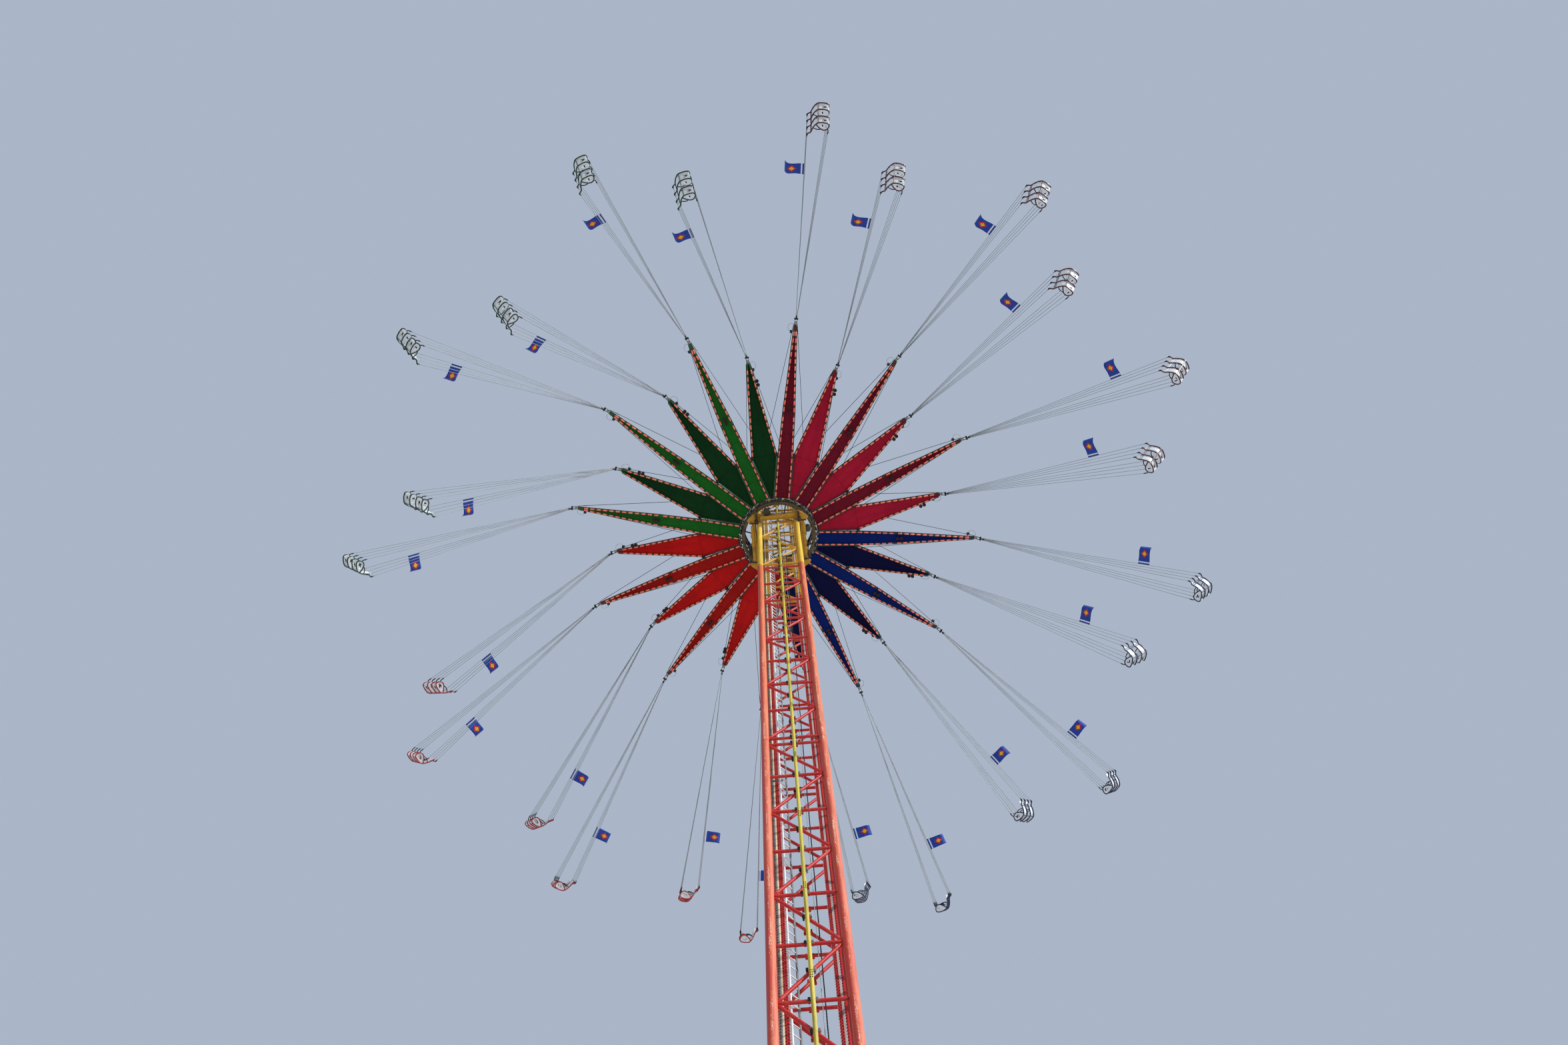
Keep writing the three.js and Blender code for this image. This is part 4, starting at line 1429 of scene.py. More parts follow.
    def build_ropes(self) -> None:
        """Builds the hoist's beaded chain and its thin return rope, with their anchors."""
        x, y = self.hoist_at
        chain, back = x + self.hoist_gap / 2, x - self.hoist_gap / 2
        thin, thick = self.hoist_radii
        low, high = self.foot + SLIT, self.top + self.brace
        bead = dress(soften(block((0.028, 0.028, 0.055), (chain, y, 0)), EASED), ROPE_BLACK)
        beads = raised(
            low + (i + 3) * self.bead for i in range(int((high - low) / self.bead) - 5)
        )
        parts = [
            dress(bar((back, y, low), (back, y, high), thin, 8), ROPE_PALE),
            dress(bar((chain, y, low), (chain, y, high), thick, 8), ROPE_BLACK),
            strew("beads", bead, beads),
        ]
        anchors = (block((0.24, 0.1, 0.2), (x, y, z), SOFT) for z in (low + 0.1, high - 0.1))
        parts += dressed(CLAMP_BLACK, *anchors)
        deliver(join("hoist_falls", parts), "tower", "black_rope", "hoist_rope")

    def build_ends(self) -> None:
        """Finishes the base frame and the head, and adds their bolts and sheave."""
        dress_node("base_frame", BASE_GREY)
        dress_node("tower_head_frame", HEAD_YELLOW)
        anchor = dress(bolt(0.03, 0.06), CLAMP_BLACK)
        places = [
            shift((x * self.half + i * 0.23, y * self.half + j * 0.23, 0.05))
            for x in (-1, 1) for y in (-1, 1) for i in (-1, 1) for j in (-1, 1)
        ]
        deliver(strew("anchor_bolts", anchor, places), "tower", "base_steel")
        x, y, height = 0.22, 0.1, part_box("tower_head_frame")[1].z / METRE - 0.16
        wheel = bar((x, y - 0.11, height), (x, y + 0.11, height), 0.08, 24)
        cheeks = [
            bar((x, y + side * 0.1, height), (x, y + side * 0.13, height), 0.12, 24)
            for side in (-1, 1)
        ]
        sheave = soften(join("head_sheave", [wheel, *cheeks]), EASED)
        deliver(dress(sheave, BEARING_OLIVE), "tower", "bearing_steel")


@dataclass(frozen=True)
class Carriage:
    """The carriage that climbs the tower and carries the star."""

    star: float = HINGE_HEIGHT  # The height of the arm tips' hinges
    sole: float = 2.5  # The sole plate's underside below that
    sole_top: float = 2.38  # The sole plate's upper side below that
    wall_top: float = 1.96  # The walls' top below that
    wall: float = 1.09  # From the axis to the walls' outer face
    ribs: tuple[float, ...] = (-0.9, -0.16, 0.2, 0.9)  # Where the ribs stand across a wall
    # From the axis to the sole plate's inner and outer edges
    square: Pair = (0.95, 1.1)
    # The outline of the ear at the sole's corner in the first quadrant
    ear: tuple[Pair, ...] = (
        (0.9, 0.82), (1.02, 0.83), (1.14, 0.86), (1.23, 0.9), (1.28, 0.95), (1.27, 1.0),
        (1.2, 1.07), (1.1, 1.15), (1.0, 1.22), (0.9, 1.27),
    )
    # The dark blocks at that ear, each with its size and its middle from the sole's underside
    gussets: tuple[tuple[Point, Point], ...] = (
        ((0.09, 0.46, 0.12), (0.88, 1.06, -0.06)),
        ((0.14, 0.12, 0.2), (0.9, 0.96, -0.1)),
        ((0.3, 0.05, 0.05), (1.05, 0.86, -0.02)),
    )
    bearing: Pair = (1.43, 1.54)  # The bearing ring's inner and outer radius
    bolts: int = 48  # The number of bolts in the bearing
    hub_drop: float = HUB_DROP  # The bearing's top below the star's height
    roller: float = 0.034  # The guide rollers' radius
    rail_face: float = 0.9226  # From the axis to the face that they run on
    motor: float = 0.13  # The slewing motors' radius
    motor_height: float = 0.34  # Their height

    def build(self) -> None:
        """Builds and seats all of the carriage's pieces."""
        for node in ("carriage_walls", "carriage_guide_frame"):
            dress_node(node, CARRIAGE_YELLOW)
        self.build_ribs()
        self.build_sole()
        self.build_bearing()
        self.build_rollers()
        self.build_motors()
        self.build_box()

    def build_ribs(self) -> None:
        """Builds the walls' upright ribs and the box beams under the sole."""
        low, high = self.star - self.sole_top + SLIT, self.star - self.wall_top
        thick, deep = 0.035, 0.09
        y, middle = -self.wall - deep / 2 - SLIT, (low + high) / 2
        parts = []
        for side in Side:
            for x in self.ribs:
                rib = block((thick, deep, high - low - 0.01), (x, y, middle), CRISP)
                parts.append(moved(rib, side.turn))
            under = (0, -self.wall, self.star - self.sole - 0.032)
            parts.append(moved(block((1.5, 0.11, 0.07), under, EASED), side.turn))
        ribs = dress(join("carriage_ribs", parts), CARRIAGE_YELLOW)
        deliver(ribs, "carriage", "yellow_paint")

    def build_sole(self) -> None:
        """Builds the sole: a square frame with a rounded ear and a dark gusset at each corner."""
        bottom, top = self.star - self.sole, self.star - self.sole_top
        inner, outer = self.square
        centre = (0, -(inner + outer) / 2, (bottom + top) / 2)
        parts, dark = [], []
        for side in Side:
            long = 2 * (outer if side.value % 2 == 0 else inner)
            bar_size = (long, outer - inner, top - bottom - 0.004)
            parts.append(moved(block(bar_size, centre), side.turn))
        for sx in (-1, 1):
            for sy in (-1, 1):
                outline = [(sx * x, sy * y) for x, y in self.ear]
                parts.append(plate(outline, bottom, top - 0.004, DULLED))
                dark += [
                    block(size, (sx * x, sy * y, bottom + 0.003 + z), SOFT)
                    for size, (x, y, z) in self.gussets
                ]
        sole = dress(join("sole_frame", parts), CARRIAGE_YELLOW)
        deliver(sole, "carriage", "yellow_paint", "carriage_sole_plate")
        deliver(dress(join("sole_gussets", dark), JOINT_BROWN), "carriage", "bearing_steel")

    def build_bearing(self) -> None:
        """Builds the slewing bearing with its bolt circle and brackets to the walls."""
        low, high = self.star - self.wall_top + SLIT, self.star - self.hub_drop - 0.001
        inner, outer = self.bearing
        radius = (inner + outer) / 2
        lip = ring(inner, outer, low, high, bevel=DULLED)
        bead = ring(outer - 0.06, outer + 0.02, low + 0.03, high - 0.02, bevel=EASED)
        head_down = shift((radius, 0, low + 0.002)) @ Matrix.Rotation(math.pi, 4, "X")
        places = [turn_z(i * math.tau / self.bolts) @ head_down for i in range(self.bolts)]
        bolts = strew("bearing_bolts", bolt(0.016, 0.016), places)
        bearing = dress(join("slewing_bearing", [lip, bead, bolts]), BEARING_OLIVE)
        deliver(bearing, "carriage", "bearing_steel", "slew_bearing_ring")
        arms = []
        for degrees in range(15, 360, 30):
            angle = math.radians(degrees)
            reach = self.wall / max(abs(math.cos(angle)), abs(math.sin(angle))) - 0.01
            if radius - reach > 0.08:
                arm = strip((reach, 0, low - 0.14), (radius, 0, low - 0.02), 0.05, 0.05, CRISP)
                arms.append(moved(arm, turn_z(angle)))
        deliver(dress(join("bearing_brackets", arms), JOINT_BROWN), "carriage", "bearing_steel")

    def build_rollers(self) -> None:
        """Builds the guide rollers that run on the rails, with their forks."""
        y, parts = -(self.rail_face + self.roller), []
        for side in Side:
            for height in (self.star - self.sole_top + 0.12, self.star - self.wall_top - 0.09):
                wheel = bar((-0.04, y, height), (0.04, y, height), self.roller, 20)
                fork = block((0.16, 0.02, 0.09), (0, -0.985, height), CRISP)
                ears = [
                    block((0.02, 0.05, 0.06), (x, -0.965, height), CRISP) for x in (-0.06, 0.06)
                ]
                parts += [moved(part, side.turn) for part in (soften(wheel, EASED), fork, *ears)]
        deliver(dress(join("guide_rollers", parts), CLAMP_BLACK), "carriage", "black_plastic")

    def motor_shape(self) -> Piece:
        """Models a motor standing on the origin: finned barrel, flange and end cover.

        Returns:
            The motor.
        """
        tall = self.motor_height
        barrel = bar((0, 0, 0.02), (0, 0, tall), self.motor * 0.9, 28)
        fin = soften(bar((0, 0, 0), (0, 0, 0.016), self.motor, 28), CRISP)
        fins = strew("fins", fin, raised(0.05 + 0.04 * i for i in range(7)))
        cover = soften(bar((0, 0, -0.005), (0, 0, 0.03), self.motor * 0.98, 28), SOFT, 2)
        hub = soften(bar((0, 0, -0.012), (0, 0, 0.0), self.motor * 0.45, 20), EASED)
        foot = block((0.2, 0.09, 0.2), (0, 0.1, tall / 2), DULLED)
        return dress(join("motor", [barrel, fins, cover, hub, foot]), MOTOR_GREY)

    def build_motors(self) -> None:
        """Builds the two slewing motors on the outside of the walls."""
        pattern = self.motor_shape()
        y, bottom = -self.wall - 0.01 - 0.14 - SLIT, self.star - 2.36
        for label, turn, x in (("front", 0.0, -0.45), ("right", QUARTER_TURN, -0.4)):
            motor = copy_of(pattern, f"motor_{label}", turn_z(turn) @ shift((x, y, bottom)))
            deliver(motor, "carriage", "bearing_steel", f"slew_motor_{label}")
        discard([pattern])

    def build_box(self) -> None:
        """Builds the control box with its lid and cable glands."""
        low, high = (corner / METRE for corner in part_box("control_box_left"))
        size, centre = high - low, (low + high) / 2
        body = block(size - Vector((0.02, 0, 0)), centre + Vector((0.01, 0, 0)), SOFT)
        lid_size = (0.024, size.y * 0.96, size.z * 0.96)
        lid = block(lid_size, (low.x + 0.012, centre.y, centre.z), DULLED)
        glands = []
        for share in (0.2, 0.4, 0.6, 0.8):
            y = low.y + size.y * share
            glands.append(bar((centre.x, y, low.z - 0.04), (centre.x, y, low.z + 0.02), 0.024))
        box = dress(join("control_box", [body, lid, *glands]), BOX_BLACK)
        deliver(box, "carriage", "black_plastic", "control_box_left")


@dataclass(frozen=True)
class Arm:
    """One kind of covered arm, in its own frame: X runs out from the axis, Y to the left."""

    label: str  # The kind's name
    hanger: float  # From the tower's axis to the chair's hinge
    outline: tuple[Pair, ...]  # The panel's half width at radii along it
    lit_from: int  # The corner of the outline at which the rows of lights start
    bays: int  # The number of bays of its truss
    lamps: tuple[float, ...]  # The radii of the round lamps
    lamp: float  # The round lamps' radius
    lamps_beside: bool  # Whether the lamps stand beside the arm, and not under it
    box_side: int  # The side of the tip's box and wire loop, 1 for the left
    height: float = HINGE_HEIGHT  # The height of the hinges at the arms' tips
    drop: float = HUB_DROP  # The hub's underside below the hinges
    root: float = 1.66  # The arm's inner radius
    root_lift: float = 0.14  # The arm's underside above the hub's, at the root
    tip_lift: float = 0.1  # The arm's underside above the hinges, at the tip
    hem: float = 0.03  # From a panel's edge to its cloth's edge
    dash: float = 0.185  # The length of a light tube
    pitch: float = 0.29  # The distance between light tubes
    light: float = 0.034  # The light tubes' radius
    lit_line: float = 0.05  # How far inside the edge the light tubes run
    truss: Pair = (0.4, 0.18)  # The truss's height at the root and at the tip
    chords: Pair = (0.03, 0.04)  # The radii of its lower and its top chord
    lacing: float = 0.018  # The lacing's radius

    def half_width(self, radius: float) -> float:
        """Finds the panel's half width.

        Args:
            radius: the distance from the tower's axis.

        Returns:
            The half width there.
        """
        for (r0, w0), (r1, w1) in zip(self.outline, self.outline[1:]):
            if radius <= r1:
                return w0 + (w1 - w0) * (radius - r0) / (r1 - r0)
        return self.outline[-1][1]

    def underside(self, radius: float) -> float:
        """Finds the height of the arm's underside.

        Args:
            radius: the distance from the tower's axis.

        Returns:
            The height there.
        """
        rise = self.drop - self.root_lift + self.tip_lift
        start = self.height - self.drop + self.root_lift
        return start + rise * (radius - self.root) / (self.hanger - self.root)

    def cover(self) -> Piece:
        """Models the arm's cloth as one curved sheet that sags a little between its edges.

        Returns:
            The cloth, with its UV map along and across it.
        """
        steps, deep, waves = 14, 0.012, 0.003
        stations: list[float] = []
        for (r0, _), (r1, _) in zip(self.outline, self.outline[1:]):
            stations += [r0 + (r1 - r0) * i / steps for i in range(steps)]
        stations.append(self.outline[-1][0])
        last = len(stations) - 1
        let_go()
        bpy.ops.mesh.primitive_grid_add(x_subdivisions=last, y_subdivisions=8, size=2)
        piece = bpy.context.object
        for vertex in piece.data.vertices:
            radius, across = stations[round((vertex.co.x + 1) / 2 * last)], vertex.co.y
            slack = 1 - across * across
            ripple = waves * math.sin(radius * 4.5 + across * 2.0) * slack
            height = self.underside(radius) + 0.018 - deep * slack + ripple
            vertex.co = (radius, across * (self.half_width(radius) - self.hem), height)
        return thicken(piece, 0.003)

    def edge_points(self, side: int, inset: float, lift: float) -> list[Vector]:
        """Finds the corners of a line along one edge of the arm.

        Args:
            side: 1 for the left edge and -1 for the right.
            inset: how far inside the edge it runs.
            lift: how far above the underside it runs.

        Returns:
            Its corners, from the root out.
        """
        return [
            Vector((r, side * (half - inset), self.underside(r) + lift))
            for r, half in self.outline
        ]

    def steel(self, paint: Paint) -> Piece:
        """Models the arm without its cloth: edges, truss, lights, lamps, tip and root.

        Args:
            paint: the paint of its steel.

        Returns:
            The arm in its own frame.
        """
        parts = [
            *self.edges(paint), self.truss_shape(paint), *self.lights(),
            *self.lamp_set(), *self.tip(), *self.root_lugs(),
        ]
        return smoothed(join(f"{self.label}_arm", parts))

    def edges(self, paint: Paint) -> list[Piece]:
        """Models the edge beams, the edge lines, the lights' rails, the cross members and catches.

        Args:
            paint: the paint of its steel.

        Returns:
            The parts.
        """
        parts = []
        for side in (-1, 1):
            beam = self.edge_points(side, 0.025, 0.045)
            line = self.edge_points(side, 0.0, 0.01)
            rail = self.edge_points(side, self.lit_line, -0.004)[self.lit_from:]
            parts += dressed(
                paint, *(strip(a, b, 0.045, 0.06, EASED) for a, b in zip(beam, beam[1:])),
                *(strip(a, b, 0.055, 0.012) for a, b in zip(rail, rail[1:])),
            )
            parts += dressed(EDGE_GREY, *(bar(a, b, 0.009, 6) for a, b in zip(line, line[1:])))
        radii = [r for r, _ in self.outline]
        for radius in (radii[0] + 0.03, *radii[1:]):
            half, height = self.half_width(radius) - 0.04, self.underside(radius) + 0.05
            cross = bar((radius, -half, height), (radius, half, height), 0.018, 8)
            parts.append(dress(cross, paint))
        x, half = self.outline[1]
        z = self.underside(x) - 0.01
        for side in (-1, 1):
            catch = block((0.14, 0.1, 0.07), (x, side * (half - 0.03), z), DULLED)
            start = (x - 0.04, side * (half - 0.09), z)
            hook = bar(start, (x + 0.12, side * (half - 0.02), z - 0.03), 0.014, 8)
            parts += [dress(catch, TRIM_DARK), dress(hook, HOLDER_OLIVE)]
        return parts

    def truss_shape(self, paint: Paint) -> Piece:
        """Models the truss above the cloth: a top chord, a lower chord and the lacing.

        Args:
            paint: the paint of its steel.

        Returns:
            The truss.
        """
        deep, thin = self.truss
        low, high = [], []
        for i in range(self.bays + 1):
            radius = self.root + (self.hanger - 0.2 - self.root) * i / self.bays
            height = self.underside(radius)
            low.append(Vector((radius, 0, height + 0.06)))
            high.append(Vector((radius, 0, height + deep + (thin - deep) * i / self.bays)))
        parts = [
            bar(low[0], low[-1], self.chords[0], 8), bar(high[0], high[-1], self.chords[1], 10)
        ]
        for i in range(self.bays):
            line = (low[i], high[i], low[i + 1])
            parts += [bar(a, b, self.lacing, 6) for a, b in zip(line, line[1:])]
            edge, head = self.half_width(low[i].x) - 0.04, high[i] - Vector((0, 0, 0.02))
            parts += [
                bar(head, (low[i].x, side * edge, low[i].z - 0.01), 0.014, 6) for side in (-1, 1)
            ]
        return dress(join("truss", parts), paint)

    def lights(self) -> list[Piece]:
        """Models the light tubes along both edges, with a holder between two tubes.

        Returns:
            The tubes and the holders.
        """
        reach = self.dash / 2
        tube = soften(bar((0, 0, -reach), (0, 0, reach), self.light, 8), 0.005)
        cap = bar((0, 0, -reach - 0.01), (0, 0, reach + 0.01), 0.025, 6)
        holder = block((0.05, 0.03, 0.045), (0, 0, 0))
        tubes, holders = [], []
        for side in (-1, 1):
            line = self.edge_points(side, self.lit_line, -0.028)[self.lit_from:]
            travelled = reach + 0.05
            for a, b in zip(line, line[1:]):
                length, way = (b - a).length, (b - a).normalized()
                while travelled + reach < length:
                    for places, at in ((tubes, travelled), (holders, travelled + self.pitch / 2)):
                        centre = a + way * at
                        places.append(along(centre - way, centre + way))
                    travelled += self.pitch
                travelled = max(travelled - length, reach)
        lit = join("tube", [dress(tube, LIGHT_TUBE), dress(cap, HOLDER_OLIVE)])
        held = dress(holder, HOLDER_OLIVE)
        return [strew("light_tubes", lit, tubes), strew("tube_holders", held, holders)]

    def lamp_set(self) -> list[Piece]:
        """Models the two round lamps, under a long arm or beside a short one.

        Returns:
            The lamps' parts.
        """
        parts, size = [], self.lamp
        for x in self.lamps:
            y = self.half_width(x) + 0.06 if self.lamps_beside else 0.0
            z = self.underside(x) - (0.02 if self.lamps_beside else 0.035)
            pan = soften(bar((x, y, z - 0.03), (x, y, z + 0.05), size, 24), SOFT)
            lip = ring(size * 0.72, size * 1.02, z - 0.045, z - 0.028, 24, CRISP)
            glass = bar((x, y, z - 0.036), (x, y, z - 0.025), size * 0.74, 20)
            parts += [dress(pan, CLAMP_BLACK), dress(moved(lip, shift((x, y, 0))), LAMP_RIM)]
            parts.append(dress(glass, LAMP_GLASS))
            if self.lamps_beside:
                stalk = bar((x, y - 0.14, z + 0.05), (x, y, z + 0.03), 0.018, 8)
                parts.append(dress(stalk, CLAMP_BLACK))
        return parts

    def tip(self) -> list[Piece]:
        """Models the hanger at the tip: shackle, links, pin, and the box with its wire loop.

        Returns:
            The hanger's parts.
        """
        x, z, side = self.hanger, self.height, self.box_side
        links = [bar((x, -0.09, z), (x, 0.09, z), 0.024)]
        shackle = [
            block((0.34, 0.07, 0.06), (x - 0.45, 0, z + 0.16), 0.005),
            block((0.14, 0.11, 0.07), (x - 0.19, 0, z + 0.1), SOFT),
        ]
        for y in (-0.05, 0.05):
            links.append(strip((x - 0.3, y, z + 0.15), (x + 0.02, y, z - 0.01), 0.016, 0.06, EASED))
            links.append(bar((x, y - 0.02, z), (x, y + 0.02, z), 0.045))
            shackle.append(bar((x - 0.26, y, z + 0.13), (x - 0.26, 1.7 * y, z + 0.13), 0.04, 10))
        y = side * 0.17
        case = [
            block((0.12, 0.1, 0.1), (x - 0.56, y, z + 0.08), SOFT),
            bar((x - 0.56, 0, z + 0.12), (x - 0.56, y, z + 0.12), 0.015, 8),
        ]
        path = (
            (-0.56, 0.2, 0.1), (-0.5, 0.3, 0.14), (-0.36, 0.32, 0.14), (-0.22, 0.24, 0.1),
            (-0.22, 0.1, 0.06), (-0.28, 0.05, 0.1),
        )
        loop = bent_tube([(x + a, side * b, z + c) for a, b, c in path], 0.008, 4)
        return [
            *dressed(TRIM_DARK, *links), *dressed(CLAMP_SILVER, *shackle),
            *dressed(CLAMP_BLACK, *case), dress(loop, ROPE_PALE),
        ]

    def root_lugs(self) -> list[Piece]:
        """Models the lugs and pins that hold the arm's root to the hub.

        Returns:
            The lugs, the pins and the truss's root post.
        """
        low, x = self.height - self.drop + 0.02, self.root
        half = max(self.outline[0][1] - 0.09, 0.04)
        post = bar((x + 0.02, 0, low + 0.1), (x + 0.04, 0, low + 0.5), 0.03, 8)
        parts, pin_x = [dress(post, HUB_DARK)], x - 0.015
        for y in (-half, half):
            lug = strip((x - 0.08, y, low + 0.07), (x + 0.1, y, low + 0.15), 0.03, 0.1, DULLED)
            pin = bar((pin_x, y - 0.05, low + 0.02), (pin_x, y + 0.05, low + 0.02), 0.022, 10)
            parts += [dress(lug, HUB_DARK), dress(pin, CLAMP_SILVER)]
        return parts


LONG_ARM = Arm(
    "long", 9.0, ((1.66, 0.33), (3.4, 0.33), (5.2, 0.27), (8.7, 0.075)), 0, 12,
    (5.19, 5.37), 0.072, False, -1,
)
SHORT_ARM = Arm(
    "short", 7.45, ((1.66, 0.098), (3.4, 0.552), (7.15, 0.1)), 1, 9,
    (6.28, 6.44), 0.074, True, 1,
)


@dataclass(frozen=True)
class Star:
    """The turning star: hub, stays and the arms in their places."""

    height: float = HINGE_HEIGHT  # The height of the arm tips' hinges
    count: int = 24  # The number of arms
    first: float = math.radians(-90 + 8.93)  # The first arm's angle in radians
    drop: float = HUB_DROP  # The hub's underside below the hinges
    head_drop: float = 0.14  # The hub's top below the hinges
    band_drop: float = 0.22  # The middle of the stays' band below the hinges
    # The inner and outer radius of the hub's lower ring, of the rim round it and of its upper ring
    low_ring: Pair = (1.46, 1.58)
    rim: Pair = (1.62, 1.65)
    high_ring: Pair = (1.48, 1.595)
    posts: float = 1.54  # The radius at which the hub's posts stand
    fitted: float = 1.6  # The radius at which the hub's small fittings stand
    # The inner and outer radius of the band that holds the stays
    band: Pair = (1.6 + SLIT, 1.64)
    stay: float = 0.011  # The stays' own radius
    stay_foot: float = 1.625  # The radius at which they meet it
    stay_span: int = 3  # The number of arms from a stay's tip round to its foot

    def angle(self, index: float) -> float:
        """The angle of an arm, counted from 0."""
        return self.first + index * math.tau / self.count

    def build(self) -> None:
        """Builds and seats all of the star's pieces."""
        self.build_hub()
        self.build_stays()
        for arm, parity in ((LONG_ARM, 0), (SHORT_ARM, 1)):
            cover = arm.cover()
            for quarter_index, quarter in enumerate(Quarter):
                steel = arm.steel(QUARTER_FINISHES[quarter].steel)
                first = quarter_index * self.count // 4
                for index in range(first, first + self.count // 4):
                    if index % 2 == parity:
                        self.place_arm(index, arm, quarter, cover, steel)
                discard([steel])
            discard([cover])

    def place_arm(self, index: int, arm: Arm, quarter: Quarter, cover: Piece, steel: Piece) -> None:
        """Args:
            index: the arm's number from 0.
            arm: its kind.
            quarter: its quarter of the star.
            cover: the cover to copy.
            steel: the arm's steel to copy.
        """
        finish = QUARTER_FINISHES[quarter]
        turn, number, slot = turn_z(self.angle(index)), f"{index + 1:02d}", finish.steel.slot
        bare = seat(copy_of(steel, f"arm_{number}", turn), "star", slot, f"arms_{quarter.value}")
        cloth = copy_of(cover, f"cover_{number}", turn)
        dress(cloth, finish.long_cover if arm is LONG_ARM else finish.short_cover)
        seat(cloth, "star", slot)

    def build_hub(self) -> None:
        """Builds the turning hub: rings, posts, crossed braces and the fittings at the roots."""
        low, high = self.height - self.drop, self.height - self.head_drop
        parts = [
            ring(*self.low_ring, low, low + 0.2, bevel=DULLED),
            ring(*self.rim, low + 0.06, low + 0.16, bevel=CRISP),
            ring(*self.high_ring, high - 0.16, high, bevel=DULLED),
        ]
        for i in range(self.count // 2):
            turns = [turn_z(self.angle(2 * j + 0.5)) for j in (i, i + 1)]
            posts = [turn @ Vector((self.posts, 0, 0)) for turn in turns]
            feet = [post + Vector((0, 0, low + 0.15)) for post in posts]
            heads = [post + Vector((0, 0, high - 0.1)) for post in posts]
            parts.append(strip(feet[0], heads[0], 0.09, 0.09, DULLED))
            parts += [bar(feet[0], heads[1], 0.022, 8), bar(feet[1], heads[0], 0.022, 8)]
        hub = dress(join("hub_rings", parts), HUB_DARK)
        deliver(hub, "star", "bearing_steel", "hub_frame")
        kinds = (self.angle_iron(), self.junction_box(), self.pipe_clip())
        fittings = [
            strew("fittings", fitting, map(self.fitting_place, range(kind, 2 * self.count, 3)))
            for kind, fitting in enumerate(kinds)
        ]
        deliver(join("hub_fittings", fittings), "star", "yellow_paint")

    def angle_iron(self) -> Piece:
        """Models an angle with its plate and bolt, at the hub's underside.

        Returns:
            The angle.
        """
        x = self.fitted
        parts = [
            dress(block((0.12, 0.035, 0.09), (x, 0, 0.03), EASED), BRACKET_YELLOW),
            dress(block((0.035, 0.09, 0.07), (x + 0.05, 0.03, 0.03), EASED), LADDER_WHITE),
            dress(bar((x - 0.03, 0.04, -0.03), (x - 0.03, 0.04, 0.05), 0.018, 8), CLAMP_BLACK),
        ]
        return join("angle_iron", parts)

    def junction_box(self) -> Piece:
        """Models a small box with a pipe across it, at the hub's underside.

        Returns:
            The box.
        """
        x = self.fitted
        box = dress(block((0.09, 0.1, 0.08), (x, 0, 0.02), SOFT), BOX_BLACK)
        pipe = bar((x - 0.08, 0.02, 0), (x + 0.1, -0.03, 0.01), 0.012, 6)
        return join("junction_box", [box, dress(pipe, LADDER_GREY)])

    def pipe_clip(self) -> Piece:
        """Models a bent pipe in its clip, at the hub's underside.

        Returns:
            The clip.
        """
        x = self.fitted
        path = (
            (x - 0.09, -0.06, 0.02), (x, -0.09, -0.03), (x + 0.05, 0.03, -0.02),
            (x + 0.09, 0.08, 0.05),
        )
        clip = block((0.06, 0.05, 0.05), (x + 0.01, -0.02, 0.01), EASED)
        pipe = dress(bent_tube(path, 0.014), HUB_DARK)
        return join("pipe_clip", [pipe, dress(clip, BRACKET_YELLOW)])

    def fitting_place(self, index: int) -> Matrix:
        """Finds a fitting's place: unevenly round the hub, turned a little on its own foot.

        Args:
            index: the fitting's number from 0.

        Returns:
            The place.
        """
        angle = self.angle(index / 2 + 0.16 * math.sin(index * 2.4))
        lift = self.height - self.drop + (0.03 + 0.03 * math.sin(index * 1.3))
        own = turn_z(0.7 * math.sin(index * 3.1)) @ shift((-self.fitted, 0, 0))
        return turn_z(angle) @ shift((self.fitted, 0, lift)) @ own

    def build_stays(self) -> None:
        """Builds the stays from the upper ring's band to the arm tips, with their turnbuckles."""
        middle = self.height - self.band_drop
        band = ring(*self.band, middle - 0.05, middle + 0.05, bevel=CRISP)
        wires, sleeves = [], [band]
        for i in range(self.count):
            arm = SHORT_ARM if i % 2 else LONG_ARM
            for side in (-1, 1):
                foot = Vector((self.stay_foot, 0, middle + side * 0.03))
                head = Vector((arm.hanger - 0.26, -side * 0.08, self.height + 0.13))
                foot = turn_z(self.angle(i - self.stay_span * side)) @ foot
                head = turn_z(self.angle(i)) @ head
                way = (foot - head).normalized()
                wires.append(bar(head, foot, self.stay, 6))
                sleeves.append(bar(head + way * 0.2, head + way * 0.42, 0.015, 8))
                sleeves.append(bar(foot - way * 0.3, foot - way * 0.04, 0.02, 8))
        parts = [dress(join("sleeves", sleeves), HUB_DARK), dress(join("wires", wires), STAY_WIRE)]
        deliver(join("stays", parts), "star", "stay_wire", "arm_stays")


